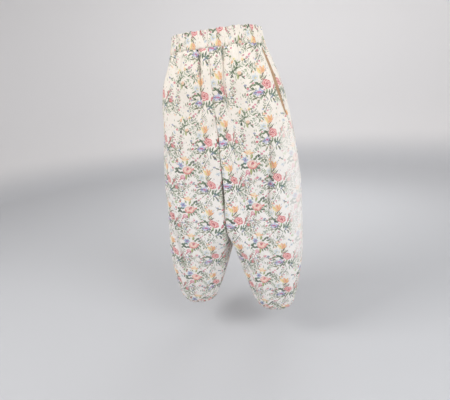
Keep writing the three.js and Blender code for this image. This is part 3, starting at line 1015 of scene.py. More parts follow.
# The print's two sprays, the upper sprig and the two small sprays between them. Each row: shape,
# place right and up, turn in degrees, half length and width, colour. They lie one over another.
ROSE_SPRAY = [
    ("oval", -11.5, -63, 55, 21, 1.1, "blue stem"), ("oval", 3, 48, 58, 6, 0.7, "grey blue"),
    ("oval", -27, -82, 30, 4.6, 3.4, "apricot"), ("oval", -24, -80, 40, 2.2, 1.6, "orange"),
    ("sprig", -3, -68, 104, 10, 6, "grey leaf"), ("sprig", -60, -27, 160, 13, 6, "grey leaf"),
    ("sprig", 45, 20, 62, 15, 8, "grey leaf"), ("sprig", 28, -46, -38, 13, 7, "sage"),
    ("sprig", -52, 30, 128, 11, 6, "sage"), ("leaf", -43, 43, 60, 7, 2.2, "mid leaf"),
    ("leaf", -33, 45, 122, 6, 2.0, "mid leaf"), ("oval", -66, 7, 10, 4.0, 3.0, "grey blue"),
    ("leaf", -66, 1, -64, 5, 1.8, "leaf"), ("oval", -60, -4, 12, 3.8, 2.8, "red pink"),
    ("oval", -63, -19, 20, 4.2, 2.6, "crimson"), ("leaf", -71, -18, 64, 6, 1.6, "olive"),
    ("leaf", -78, -20, 78, 5, 1.6, "grey leaf"), ("leaf", -48, 2, 44, 7, 2.8, "mid leaf"),
    ("leaf", -46, -7, -24, 7, 2.6, "leaf"), ("leaf", -43, -34, 6, 10, 2.4, "olive"),
    ("leaf", -35, -44, 42, 9, 2.2, "grey leaf"), ("leaf", -24, -36, 58, 7, 2.2, "pale leaf"),
    ("leaf", -15, -31, -64, 9, 2.2, "olive dark"), ("oval", -7, -37, -68, 9, 1.0, "deep leaf"),
    ("leaf", 16, -47, -56, 8, 2.2, "olive dark"), ("leaf", 6, -48, -86, 8, 2.0, "sage"),
    ("leaf", 5, -26, 82, 11, 3.4, "leaf"), ("leaf", -3, -19, 84, 9, 3.0, "pale leaf"),
    ("leaf", 15, -33, -34, 10, 4.0, "teal"), ("leaf", 22, -27, 36, 9, 2.8, "leaf"),
    ("leaf", 10, -38, 40, 8, 3.0, "grey blue"), ("leaf", 27, -36, -16, 7, 2.2, "sage"),
    ("bloom", -35, 23, 14, 12, 12, "pale blue"), ("oval", -33, 22, 0, 2.8, 2.2, "butter"),
    ("leaf", -46, 14, 24, 8, 2.4, "sage"), ("leaf", -31, 7, -30, 9, 3.6, "leaf"),
    ("leaf", -38, 3, 8, 8, 2.8, "mid leaf"), ("leaf", -20, -4, -48, 9, 3.8, "deep leaf"),
    ("leaf", -24, 3, 20, 7, 3.2, "leaf"), ("leaf", -14, -20, -40, 9, 3.0, "leaf"),
    ("leaf", -8, -27, 60, 8, 2.2, "mid leaf"), ("leaf", -22, -33, 22, 8, 2.0, "leaf"),
    ("leaf", 30, -20, 4, 8, 2.4, "mid leaf"), ("leaf", 14, -22, 70, 9, 2.4, "leaf"),
    ("leaf", -20, 40, 124, 14, 5.0, "yellow"), ("leaf", -7, 41, 62, 14, 5.0, "amber"),
    ("leaf", -13, 42, 94, 14, 6.2, "apricot"), ("leaf", -10, 40, 76, 9, 2.2, "orange"),
    ("leaf", -17, 38, 104, 8, 2.6, "butter"), ("leaf", -2, 37, 46, 10, 2.0, "orange"),
    ("leaf", -11, 25, 48, 11, 2.2, "olive dark"), ("leaf", -3, 18, 40, 11, 2.0, "olive dark"),
    ("leaf", -8, 20, 50, 9, 1.4, "lime"), ("leaf", -18, 23, 84, 8, 1.8, "lime"),
    ("bloom", -29, -19, 8, 18, 10.5, "violet"), ("bloom", -29, -19, 36, 13, 7.5, "lilac"),
    ("leaf", -40, -19, 4, 8, 2.0, "violet"), ("leaf", -19, -23, -28, 8, 2.0, "slate"),
    ("oval", -28, -19, -6, 7.5, 2.8, "magenta"), ("oval", -24, -26, 0, 3.0, 1.6, "ink"),
    ("leaf", 24, -8, 66, 10, 3.0, "red pink"), ("leaf", 32, 4, 78, 9, 3.4, "rim"),
    ("leaf", 29, -2, 104, 8, 2.2, "leaf"), ("oval", 41, -16, 12, 8, 5.0, "red"),
    ("oval", 44, -15, 12, 4, 2.6, "pink"), ("leaf", 52, -24, -32, 8, 2.0, "sage"),
    ("leaf", 46, -2, 20, 6, 2.0, "dusty pink"), ("oval", 52, 8, 0, 3.2, 2.6, "dusty pink"),
    ("oval", -14, -7, 60, 3.4, 2.2, "ink"), ("oval", -4, -22, 30, 2.6, 1.7, "ink"),
    ("rose", 0, 0, -35, 17.5, 13, "coral"),
]
BLUSH_SPRAY = [
    ("oval", -17, -51, -47, 15, 1.1, "blue stem"), ("oval", -2, -69, -62, 8, 1.0, "blue stem"),
    ("sprig", 1, -56, 42, 13, 7, "grey leaf"), ("sprig", -38, -62, -118, 12, 6, "grey leaf"),
    ("sprig", 40, 14, 24, 15, 8, "grey leaf"), ("sprig", 32, -26, -46, 12, 7, "sage"),
    ("sprig", -46, 26, 150, 14, 7, "grey leaf"), ("sprig", 16, 44, 40, 12, 6, "sage"),
    ("oval", 12, -43, 24, 5, 3.4, "pink"), ("oval", 17, -50, 0, 3.4, 2.8, "grey lilac"),
    ("oval", 5, -47, 0, 3, 2.4, "pale pink"), ("oval", -33, -52, 0, 4, 3.2, "grey lilac"),
    ("oval", -25, -61, 0, 3.2, 2.6, "dusty pink"), ("oval", -74, 8, 0, 3.6, 2.8, "grey blue"),
    ("leaf", -67, 3, -28, 7, 1.8, "leaf"), ("oval", -57, -3, 20, 4.4, 3.4, "red pink"),
    ("leaf", -57, -11, 70, 5, 1.8, "leaf"), ("bloom", -66, -14, 0, 8, 6.5, "pale blue"),
    ("oval", -54, 18, 20, 6, 4.6, "pale leaf"), ("leaf", -43, 37, -30, 6, 2.8, "leaf"),
    ("leaf", -36, 30, 20, 6, 2.4, "deep leaf"), ("oval", -37, 25, 0, 4.4, 3.4, "red"),
    ("leaf", -6, -24, 84, 12, 4.6, "lime"), ("leaf", 3, -19, -64, 9, 3.2, "mid leaf"),
    ("oval", -21, -26, 26, 9, 7.4, "pink"), ("oval", -20, -24, 26, 5, 3.8, "pale pink"),
    ("leaf", -29, -35, 44, 7, 2.6, "red pink"), ("leaf", -13, -30, 70, 7, 1.8, "magenta"),
    ("leaf", -40, -1, 14, 10, 4.6, "leaf"), ("leaf", -34, -9, -26, 10, 4.2, "deep leaf"),
    ("leaf", -44, -12, 40, 8, 3.0, "leaf"), ("leaf", -28, 4, -10, 9, 4.0, "teal"),
    ("leaf", -21, -10, -8, 9, 3.8, "leaf"), ("leaf", 17, 24, 56, 8, 3.4, "leaf"),
    ("leaf", 10, 17, 30, 7, 3.2, "mid leaf"), ("leaf", 26, 17, 18, 8, 3.2, "mid leaf"),
    ("leaf", 24, 27, 84, 6, 2.4, "deep leaf"), ("oval", 22, 2, 20, 5.4, 4.0, "rim"),
    ("leaf", 28, -2, -10, 7, 2.4, "mid leaf"), ("leaf", 20, -11, -34, 9, 3.4, "leaf"),
    ("leaf", 12, -17, -58, 8, 3.0, "sage"), ("leaf", 2, 26, 66, 9, 4.0, "lime"),
    ("leaf", -14, 29, 110, 8, 3.0, "sage"), ("bloom", -7, 38, 0, 15.5, 9.6, "apricot"),
    ("bloom", -8, 37, 24, 10, 5.4, "amber"), ("leaf", -18, 38, 160, 8, 2.4, "orange"),
    ("leaf", 5, 37, 16, 8, 2.4, "orange"), ("bloom", -24, 15, 0, 13.5, 11.5, "slate"),
    ("oval", -24, 15, 30, 5.4, 3.8, "violet"), ("oval", -21, 14, 0, 2.6, 1.8, "magenta"),
    ("oval", 0, -2, 8, 18, 13.5, "rim"), ("rose", 0, 0, 8, 16.5, 12.2, "blush"),
    ("oval", 2, 4, 24, 5.8, 4.0, "crimson"), ("oval", 5, 2, 40, 2.6, 1.4, "rim"),
]
BUTTER_SPRIG = [
    ("sprig", 2, 2, 78, 27, 12, "mid leaf"), ("sprig", 20, 14, 32, 14, 8, "sage"),
    ("sprig", -12, 10, 128, 15, 8, "grey leaf"), ("sprig", -24, -6, 168, 16, 8, "sage"),
    ("leaf", 4, 16, 84, 7, 3.2, "leaf"), ("leaf", 0, 3, 40, 8, 3.4, "leaf"),
    ("leaf", -10, -4, 30, 8, 3.4, "leaf"), ("leaf", -13, -15, 66, 7, 3.0, "deep leaf"),
    ("leaf", 5, -19, 84, 9, 3.6, "lime"), ("leaf", 12, -14, 20, 7, 2.8, "olive"),
    ("leaf", 19, -22, -52, 7, 2.6, "leaf"), ("oval", 9, -9, 0, 6, 4.6, "peach"),
    ("oval", 21, 28, 84, 5.4, 3.6, "amber"), ("oval", 21, 25, 0, 2.2, 1.8, "olive"),
    ("oval", -9, 22, 60, 5.4, 3.6, "orange"), ("bloom", -3, 30, 0, 6, 5, "butter"),
    ("oval", -13, 38, 0, 3.6, 3.2, "sage"), ("oval", -45, 0, 0, 4.0, 3.2, "grey blue"),
    ("leaf", -38, -2, 20, 5, 1.6, "leaf"), ("oval", -27, -10, 20, 4.4, 3.4, "red pink"),
    ("bloom", -38, -21, 0, 7.5, 6, "pale blue"), ("oval", 38, 6, 0, 3, 2.4, "dusty pink"),
]
SMALL_SPRAY = [
    ("sprig", -6, 8, 118, 16, 8, "grey leaf"), ("sprig", 12, -8, 30, 17, 9, "grey leaf"),
    ("sprig", -20, -18, -150, 14, 7, "sage"), ("sprig", 26, 22, 74, 13, 7, "grey leaf"),
    ("oval", -9, 20, 0, 4.4, 3.6, "dusty pink"), ("oval", -2, 26, 0, 3.4, 2.8, "pink"),
    ("oval", -16, 9, 20, 3.8, 3, "grey lilac"), ("oval", 24, -5, 0, 3.2, 2.6, "red pink"),
    ("oval", 31, 3, 0, 3, 2.6, "pink"), ("oval", 17, 9, 0, 3.4, 2.8, "lilac"),
    ("oval", -30, -22, 0, 3.2, 2.4, "grey blue"), ("oval", -22, -31, 0, 3.2, 2.6, "dusty pink"),
    ("oval", 29, 34, 0, 3.4, 2.8, "dusty pink"), ("oval", 6, -24, 0, 3.2, 2.6, "peach"),
    ("leaf", 1, -4, 60, 6, 2.4, "leaf"), ("leaf", -3, -10, -40, 5, 2.0, "mid leaf"),
    ("leaf", -12, -2, 20, 6, 2.4, "mid leaf"), ("leaf", 18, -16, -20, 5, 2.0, "leaf"),
    ("leaf", 21, 12, 50, 5, 2.2, "mid leaf"), ("leaf", -18, 16, 130, 5, 2.0, "leaf"),
]
SMALL_SHIFTS = ((44.0, 12.0), (-42.0, -62.0), (47.0, -70.0), (-40.0, 58.0))
PRINT_WIDE = 176.0        # the print's repeat
PRINT_TALL = 141.0
ROW_DROP = 402.0          # drop of one row of blush roses, on the ridge line
ROSE_SHIFT = (88.0, -52.0)
SPRIG_END = 343.0         # above this drop the sprig takes the blush rose's place
SPRAY_TOP = 54.0          # how far a spray reaches above its rose


def linear(colour, alpha=1.0):
    """A colour of 0 to 255 steps as the shader's own numbers."""
    parts = [c / 255 for c in colour]
    return tuple(c / 12.92 if c <= 0.04045 else ((c + 0.055) / 1.055) ** 2.4 for c in parts) + (alpha,)


class Tree:
    """Lays the nodes of one shader or group, and their links."""

    def __init__(self, nodes, links):
        self.nodes, self.links, self.count = nodes, links, 0

    def add(self, kind, inputs=None, **settings):
        """A new node. An input that is a socket is linked, and any other is its value."""
        node = self.nodes.new(kind)
        node.location = (220 * (self.count % 12), -260 * (self.count // 12))
        self.count += 1
        for key, value in settings.items():
            setattr(node, key, value)
        for key, value in (inputs or {}).items():
            if isinstance(value, bpy.types.NodeSocket):
                self.links.new(value, node.inputs[key])
            else:
                node.inputs[key].default_value = value
        return node

    def math(self, operation, a, b=0.0, c=0.0):
        """A sum of up to three values."""
        inputs = {0: a, 1: b, 2: c}
        return self.add("ShaderNodeMath", inputs, operation=operation).outputs[0]

    def mix(self, share, a, b):
        """A colour between two others."""
        return self.add("ShaderNodeMix", {0: share, 6: a, 7: b}, data_type="RGBA").outputs[2]

    def noise(self, place, scale, detail=2.0):
        """A noise value at a place."""
        inputs = {"Vector": place, "Scale": scale, "Detail": detail}
        return self.add("ShaderNodeTexNoise", inputs).outputs["Fac"]

    def ranged(self, value, low, high, top):
        """0 under low, top over high, and even between."""
        inputs = {"Value": value, "From Min": low, "From Max": high, "To Max": top}
        return self.add("ShaderNodeMapRange", inputs).outputs[0]

    def step(self, value, low, high):
        """1 under low, 0 over high, and a soft step between."""
        inputs = {"Value": value, "From Min": low, "From Max": high, "To Min": 1.0, "To Max": 0.0}
        return self.add("ShaderNodeMapRange", inputs, interpolation_type="SMOOTHSTEP").outputs[0]


def new_group(name, sockets):
    """A node group with the given inputs and one colour output, its tree and its input node."""
    group = bpy.data.node_groups.new(name, "ShaderNodeTree")
    for label, kind in sockets:
        group.interface.new_socket(label, in_out="INPUT", socket_type=kind)
    group.interface.new_socket("Colour", in_out="OUTPUT", socket_type="NodeSocketColor")
    tree = Tree(group.nodes, group.links)
    start = tree.add("NodeGroupInput")
    return group, tree, start


SHAPE_SOCKETS = [
    ("Under", "NodeSocketColor"), ("Spot", "NodeSocketVector"), ("Centre", "NodeSocketVector"),
    ("Along", "NodeSocketVector"), ("Across", "NodeSocketVector"), ("Ink", "NodeSocketColor"),
    ("Light", "NodeSocketColor"), ("Dark", "NodeSocketColor"),
]


def shape_start(name):
    """The start of a printed shape: its own two coordinates, in which it fills the unit circle."""
    group, tree, start = new_group(name, SHAPE_SOCKETS)
    away = tree.add("ShaderNodeVectorMath", {
        0: start.outputs["Spot"], 1: start.outputs["Centre"],
    }, operation="SUBTRACT").outputs[0]
    own = [
        tree.add("ShaderNodeVectorMath", {0: away, 1: start.outputs[axis]}, operation="DOT_PRODUCT")
        .outputs["Value"]
        for axis in ("Along", "Across")
    ]
    return group, tree, start, own


def shape_end(tree, start, mask, ink):
    """The end of a printed shape: its ink over what lies under it."""
    out = tree.add("NodeGroupOutput")
    tree.links.new(tree.mix(mask, start.outputs["Under"], ink), out.inputs[0])


def squared(tree, own):
    """Squared distance from a shape's centre."""
    return tree.math("MULTIPLY_ADD", own[0], own[0], tree.math("MULTIPLY", own[1], own[1]))


def oval_group():
    """A soft-edged oval of one ink."""
    group, tree, start, own = shape_start("Printed oval")
    shape_end(tree, start, tree.step(squared(tree, own), 0.72, 1.25), start.outputs["Ink"])
    return group


def leaf_group():
    """A pointed leaf, darker along one side."""
    group, tree, start, own = shape_start("Printed leaf")
    far = tree.math("MULTIPLY_ADD", own[0], own[0], tree.math("ABSOLUTE", own[1]))
    side = tree.step(own[1], -0.25, 0.35)
    ink = tree.mix(side, start.outputs["Ink"], start.outputs["Dark"])
    shape_end(tree, start, tree.step(far, 0.84, 1.1), ink)
    return group


def polar(tree, own):
    """Distance and angle of a shape's own coordinates."""
    far = tree.math("SQRT", squared(tree, own))
    return far, tree.math("ARCTAN2", own[1], own[0])


def sprig_group():
    """A stem with leaflets that lean forward, in pairs."""
    group, tree, start, own = shape_start("Printed sprig")
    side = tree.math("ABSOLUTE", own[1])
    along_it = tree.math("MULTIPLY_ADD", side, -0.42, own[0])
    near = tree.math("ABSOLUTE", tree.math("WRAP", along_it, 0.29, -0.29))
    out = tree.math("MULTIPLY_ADD", side, 2.3, -1.15)
    leaf = tree.math("MULTIPLY_ADD", out, out, tree.math("MULTIPLY", near, 7.5))
    end = tree.math("ABSOLUTE", own[0])
    leaves = tree.math("MULTIPLY", tree.step(leaf, 0.7, 1.15), tree.step(end, 0.8, 0.95))
    stalk = tree.math("MULTIPLY", tree.step(side, 0.03, 0.13), tree.step(end, 0.92, 1.0))
    mask = tree.math("MAXIMUM", leaves, tree.math("MULTIPLY", stalk, 0.8))
    shape_end(tree, start, mask, start.outputs["Ink"])
    return group


def bloom_group():
    """A flower of six petals, pale inside with a dark eye."""
    group, tree, start, own = shape_start("Printed bloom")
    far, angle = polar(tree, own)
    lobes = tree.math("COSINE", tree.math("MULTIPLY", angle, 6.0))
    share = tree.math("DIVIDE", far, tree.math("MULTIPLY_ADD", lobes, 0.17, 0.83))
    ink = tree.mix(tree.step(far, 0.15, 0.7), start.outputs["Light"], start.outputs["Ink"])
    ink = tree.mix(tree.step(far, 0.1, 0.34), ink, start.outputs["Dark"])
    shape_end(tree, start, tree.step(share, 0.86, 1.08), ink)
    return group


def rose_group():
    """A rose whose petals turn round a dark heart."""
    group, tree, start, own = shape_start("Printed rose")
    far, angle = polar(tree, own)
    lobes = tree.math("COSINE", tree.math("MULTIPLY", angle, 5.0))
    share = tree.math("DIVIDE", far, tree.math("MULTIPLY_ADD", lobes, 0.07, 0.93))
    turns = tree.math("SINE", tree.math("MULTIPLY_ADD", far, 17.0, tree.math("MULTIPLY", angle, 3.0)))
    ink = tree.mix(tree.step(turns, -0.5, 0.5), start.outputs["Light"], start.outputs["Ink"])
    ink = tree.mix(tree.step(share, 0.7, 0.98), start.outputs["Ink"], ink)
    ink = tree.mix(tree.step(far, 0.14, 0.3), ink, start.outputs["Dark"])
    shape_end(tree, start, tree.step(share, 0.9, 1.06), ink)
    return group


def lighter(colour, share):
    """A colour moved towards white."""
    return tuple(c + (1 - c) * share for c in colour[:3]) + (1.0,)


def darker(colour, share):
    """A colour moved towards black."""
    return tuple(c * (1 - share) for c in colour[:3]) + (1.0,)


SHAPE_BLOCK = 16          # shapes that are worked out together, which bounds the shader's memory
SHAPE_WAIT = (1e-7,) * 3


def lay_shapes(tree, shapes, whole, ground, rows):
    """Lays printed shapes over a ground colour, one over another.

    Each block's coordinates take up an invisible trace of the colour under it. The renderer then
    works the blocks out in turn, where all of them at once would overfill its stack.
    """
    for k, (kind, right, up, turn, wide, tall, colour) in enumerate(rows):
        if k % SHAPE_BLOCK == 0:
            spot = tree.add("ShaderNodeVectorMath", {0: ground, 1: SHAPE_WAIT, 2: whole},
                            operation="MULTIPLY_ADD").outputs[0]
        ink = linear(PALETTE[colour])
        light = linear(PALETTE.get(f"{colour} light", PALETTE[colour]))
        dark = linear(PALETTE.get(f"{colour} dark", PALETTE[colour]))
        node = tree.add("ShaderNodeGroup", node_tree=shapes[kind])
        tree.links.new(ground, node.inputs["Under"])
        tree.links.new(spot, node.inputs["Spot"])
        across, up_it = math.cos(math.radians(turn)), math.sin(math.radians(turn))
        values = {
            "Centre": (right, up, 0.0), "Along": (across / wide, up_it / wide, 0.0),
            "Across": (-up_it / tall, across / tall, 0.0), "Ink": ink,
            "Light": light if light != ink else lighter(ink, 0.4),
            "Dark": dark if dark != ink else darker(ink, 0.28),
        }
        for label, value in values.items():
            node.inputs[label].default_value = value
        ground = node.outputs[0]
    return ground


def spray_spot(tree, flat, offset):
    """Coordinates of the cloth round the nearest repeat of a spray."""
    moved = tree.add("ShaderNodeVectorMath", {0: flat, 1: (-offset[0], -offset[1], 0.0)}).outputs[0]
    low = (-PRINT_WIDE / 2, SPRAY_TOP - PRINT_TALL, -1.0)
    high = (PRINT_WIDE / 2, SPRAY_TOP, 1.0)
    return tree.add("ShaderNodeVectorMath", {0: moved, 1: high, 2: low}, operation="WRAP").outputs[0]


def print_group():
    """The floral print as a node group: flat cloth coordinates in metres in, colour out."""
    if "Floral print" in bpy.data.node_groups:
        return bpy.data.node_groups["Floral print"]
    shapes = {
        "oval": oval_group(), "leaf": leaf_group(), "sprig": sprig_group(), "bloom": bloom_group(),
        "rose": rose_group(),
    }
    group, tree, start = new_group("Floral print", [
        ("Flat", "NodeSocketVector"), ("Ground", "NodeSocketColor"),
    ])
    flat = tree.add("ShaderNodeVectorMath", {0: start.outputs[0], "Scale": 1000.0}, operation="SCALE")
    flat = flat.outputs[0]
    # The fine scatter reads the unwavered cloth, so that it compiles before the sprays over it.
    colour = scattered(tree, flat, start.outputs["Ground"])
    waver = tree.add("ShaderNodeTexNoise", {"Vector": flat, "Scale": 0.085, "Detail": 1.0},
                     noise_dimensions="2D").outputs["Color"]
    waver = tree.add("ShaderNodeVectorMath", {0: waver, 1: (0.5, 0.5, 0.5)}, operation="SUBTRACT")
    waver = tree.add("ShaderNodeVectorMath", {0: waver.outputs[0], "Scale": 4.5}, operation="SCALE")
    flat = tree.add("ShaderNodeVectorMath", {0: flat, 1: waver.outputs[0]}).outputs[0]
    blush = spray_spot(tree, flat, (0.0, -ROW_DROP))
    rose = spray_spot(tree, flat, (ROSE_SHIFT[0], ROSE_SHIFT[1] - ROW_DROP))
    for right, up in SMALL_SHIFTS:
        small = spray_spot(tree, flat, (right, up - ROW_DROP))
        colour = lay_shapes(tree, shapes, small, colour, SMALL_SPRAY)
    colour = lay_shapes(tree, shapes, rose, colour, ROSE_SPRAY)
    low = lay_shapes(tree, shapes, blush, colour, BLUSH_SPRAY)
    high = lay_shapes(tree, shapes, blush, colour, BUTTER_SPRIG)
    fall = tree.add("ShaderNodeSeparateXYZ", {0: flat}).outputs[1]
    upper = tree.step(tree.math("MULTIPLY", fall, -1.0), SPRIG_END - 0.2, SPRIG_END + 0.2)
    out = tree.add("NodeGroupOutput")
    tree.links.new(tree.mix(upper, low, high), out.inputs[0])
    return group


SCATTER = (
    (0.6, 0.5, 0.085, ("sage", "mid leaf", "grey leaf", "pale leaf")),
    (2.2, 0.6, 0.075, ("dusty pink", "grey leaf", "grey lilac", "peach", "pale pink", "sage")),
)


def scattered(tree, flat, ground):
    """Faint specks of leaf and bud between the sprays."""
    for turn, squeeze, scale, inks in SCATTER:
        spot = tree.add("ShaderNodeMapping", {"Vector": flat, "Scale": (1.0, squeeze, 1.0),
                                              "Rotation": (0.0, 0.0, turn)})
        cells = tree.add("ShaderNodeTexVoronoi", {"Vector": spot.outputs[0], "Scale": scale,
                                                  "Randomness": 1.0}, voronoi_dimensions="2D")
        pick = tree.add("ShaderNodeSeparateColor", {0: cells.outputs["Color"]})
        ramp = tree.add("ShaderNodeValToRGB", {0: pick.outputs[0]})
        ramp.color_ramp.interpolation = "CONSTANT"
        marks = ramp.color_ramp.elements
        while len(marks) < len(inks):
            marks.new(len(marks) / len(inks))
        for k, ink in enumerate(inks):
            marks[k].position = k / len(inks)
            marks[k].color = linear(PALETTE[ink])
        size = tree.math("MULTIPLY_ADD", pick.outputs[1], 0.6, 0.5)
        share = tree.math("DIVIDE", cells.outputs["Distance"], size)
        mask = tree.math("MULTIPLY", tree.step(share, 0.08, 0.2), tree.step(pick.outputs[2], 0.6, 0.66))
        ground = tree.mix(tree.math("MULTIPLY", mask, 0.7), ground, ramp.outputs[0])
    return ground


def new_material(name):
    """A material with a plain Principled shader, its tree helper and the shader."""
    material = bpy.data.materials.new(name)
    material.use_nodes = True
    tree = Tree(material.node_tree.nodes, material.node_tree.links)
    shader = material.node_tree.nodes["Principled BSDF"]
    return material, tree, shader


def weave_bump(tree, flat, strength):
    """The cloth's weave, its slubs and its faint crumple as one bump."""
    threads = []
    for turn in (0.0, math.pi / 2):
        spot = tree.add("ShaderNodeMapping", {"Vector": flat, "Rotation": (0.0, 0.0, turn)})
        wave = tree.add("ShaderNodeTexWave", {"Vector": spot.outputs[0], "Scale": 520.0, "Distortion": 1.2,
                                              "Detail": 1.0, "Detail Scale": 0.6})
        threads.append(wave.outputs["Color"])
    weave = tree.add("ShaderNodeMix", {0: 0.5, 6: threads[0], 7: threads[1]}, data_type="RGBA")
    fine = tree.add("ShaderNodeBump", {"Height": weave.outputs[2], "Strength": 0.35 * strength,
                                       "Distance": 0.00012})
    slub = tree.add("ShaderNodeTexNoise", {"Vector": flat, "Scale": 260.0, "Detail": 3.0, "Roughness": 0.6})
    middle = tree.add("ShaderNodeBump", {"Height": slub.outputs["Fac"], "Strength": 0.3 * strength,
                                         "Distance": 0.0006, "Normal": fine.outputs[0]})
    crumple = tree.add("ShaderNodeTexNoise", {"Vector": flat, "Scale": 46.0, "Detail": 2.5,
                                              "Roughness": 0.55, "Distortion": 0.6})
    soft = tree.add("ShaderNodeBump", {"Height": crumple.outputs["Fac"], "Strength": 0.55 * strength,
                                       "Distance": 0.0035, "Normal": middle.outputs[0]})
    return soft.outputs[0]


def cloth(name):
    """The printed cotton, shared by the pieces that are cut from it."""
    if name in bpy.data.materials:
        return bpy.data.materials[name]
    colours = bpy.context.scene.trouser_colours
    material, tree, shader = new_material(name)
    flat = tree.add("ShaderNodeUVMap", uv_map="Cloth").outputs[0]
    # Painted light: the ground runs from a warmer cream at the waist to a whiter one at the hems, as warm
    # light from above would tint it.
    fall = tree.add("ShaderNodeSeparateXYZ", {0: flat}).outputs[1]
    low = tree.add("ShaderNodeMapRange", {"Value": fall, "From Min": -0.1, "From Max": -0.6},
                   interpolation_type="SMOOTHSTEP").outputs[0]
    ground = tree.mix(low, (*colours.cloth_top_warm_lit, 1.0), (*colours.cloth_low_cool_lit, 1.0))
    mottle = tree.noise(flat, 21.0)
    ground = tree.mix(tree.math("MULTIPLY", mottle, 0.1), ground, (*colours.cloth_shade, 1.0))
    pattern = tree.add("ShaderNodeGroup", {0: flat, 1: ground}, node_tree=print_group())
    fade = tree.ranged(tree.noise(flat, 380.0), 0.47, 0.64, 0.5)
    # The painted highlight on the left leg's outer side, read from the panels' points.
    painted_highlight = tree.add("ShaderNodeAttribute", attribute_name="Painted highlight").outputs["Fac"]
    fleck = tree.ranged(tree.noise(flat, 290.0), 0.46, 0.62, 0.62)
    deep = tree.add("ShaderNodeVectorMath", {0: pattern.outputs[0], 1: pattern.outputs[0]},
                    operation="MULTIPLY").outputs[0]
    tint = tree.mix(fleck, pattern.outputs[0], deep)
    # The print gives way to the ground where the noise fades it and where the painted highlight pales it.
    tint = tree.mix(tree.math("MAXIMUM", fade, painted_highlight), tint, ground)
    tree.links.new(tint, shader.inputs["Base Color"])
    rough = tree.add("ShaderNodeMapRange", {"Value": tree.noise(flat, 34.0), "To Min": 0.66, "To Max": 0.86})
    tree.links.new(rough.outputs[0], shader.inputs["Roughness"])
    tree.links.new(weave_bump(tree, flat, 1.0), shader.inputs["Normal"])
    shader.inputs["Specular IOR Level"].default_value = 0.32
    shader.inputs["Sheen Weight"].default_value = 0.16
    shader.inputs["Sheen Roughness"].default_value = 0.45
    return material


def plain_cloth(name, colour, shade, rough):
    """A plain cotton with a mottled colour and a weave."""
    if name in bpy.data.materials:
        return bpy.data.materials[name]
    material, tree, shader = new_material(name)
    flat = tree.add("ShaderNodeUVMap", uv_map="Cloth").outputs[0]
    tint = tree.mix(tree.noise(flat, 60.0, 3.0), (*colour, 1.0), (*shade, 1.0))
    tree.links.new(tint, shader.inputs["Base Color"])
    tree.links.new(weave_bump(tree, flat, 0.8), shader.inputs["Normal"])
    shader.inputs["Roughness"].default_value = rough
    shader.inputs["Specular IOR Level"].default_value = 0.25
    return material


def reverse_cloth():
    """The unprinted inner side of the cotton."""
    colours = bpy.context.scene.trouser_colours
    return plain_cloth("Reverse of the cotton", colours.reverse, colours.cloth_shade, 0.9)


def pocketing():
    """The cloth of the pocket bags behind the openings, in a tan that is painted shade: the pale cotton in
    shadow inside them.
    """
    colours = bpy.context.scene.trouser_colours
    return plain_cloth("Pocketing", colours.pocketing, colours.pocketing_shade, 0.92)


def thread():
    """Sewing thread with a fine twist."""
    if "Sewing thread" in bpy.data.materials:
        return bpy.data.materials["Sewing thread"]
    colours = bpy.context.scene.trouser_colours
    material, tree, shader = new_material("Sewing thread")
    spot = tree.add("ShaderNodeTexCoord").outputs["Object"]
    twist = tree.add("ShaderNodeTexWave", {"Vector": spot, "Scale": 900.0}, bands_direction="DIAGONAL")
    tint = tree.mix(twist.outputs["Color"], (*colours.thread, 1.0), (*colours.cloth_shade, 1.0))
    tree.links.new(tint, shader.inputs["Base Color"])
    shader.inputs["Roughness"].default_value = 0.6
    return material


# ---------------------------------------------------------------- settings


def colour_property(name, description, colour):
    """A colour setting, given in steps of 0 to 255."""
    return FloatVectorProperty(name=name, description=description, subtype="COLOR", size=3, min=0.0,
                               max=1.0, default=linear(colour)[:3])


def length_property(name, description, default, low, high):
    """A length setting, in metres."""
    return FloatProperty(name=name, description=description, default=default, min=low, max=high,
                         subtype="DISTANCE", unit="LENGTH")


class TrouserSettings(PropertyGroup):
    """Sizes of the cloth and its folds."""

    cloth_thickness: length_property(
        "Cloth thickness", "Thickness of one layer of cloth", 0.001, 0.0003, 0.003)
    casing_thickness: length_property(
        "Casing thickness", "Thickness of a casing with its elastic", 0.003, 0.001, 0.006)
    seam_depth: length_property("Seam depth", "How far the cloth sinks at a seam", 0.0018, 0.0, 0.004)
    stitch_length: length_property("Stitch length", "Length of one stitch", 0.0024, 0.001, 0.006)
    thread_width: length_property("Thread width", "Diameter of the sewing thread", 0.0006, 0.0002, 0.002)
    crease_strength: FloatProperty(
        name="Creases", description="Depth of the hanging creases", default=1.9, min=0.0, max=2.0,
        subtype="FACTOR")
    gather_strength: FloatProperty(
        name="Gathers", description="Depth of the gathers at waist and hems", default=1.3, min=0.0,
        max=2.0, subtype="FACTOR")


class TrouserColours(PropertyGroup):
    """Colours of the cloth, the pocketing and the thread."""

    # The two ground colours differ by painted light: warmer at the waist, whiter at the hems.
    cloth_top_warm_lit: colour_property("Cloth at the waist", "Ground colour of the upper cloth", (251, 244, 234))
    cloth_low_cool_lit: colour_property("Cloth at the hems", "Ground colour of the lower cloth", (250, 247, 244))
    cloth_shade: colour_property("Cloth shade", "Colour of the cloth's faint mottling", (226, 212, 190))
    reverse: colour_property("Reverse", "Colour of the cloth's inner side", (240, 230, 214))
    # The pocket bags' tan and its darker mottle are painted shade: inside the openings lies the pale cotton
    # in shadow.
    pocketing: colour_property("Pocketing", "Colour of the pocket bags", (206, 178, 148))
    pocketing_shade: colour_property("Pocketing shade", "Mottling of the pocket bags", (164, 128, 98))
    thread: colour_property("Thread", "Colour of the sewing thread", (238, 226, 204))


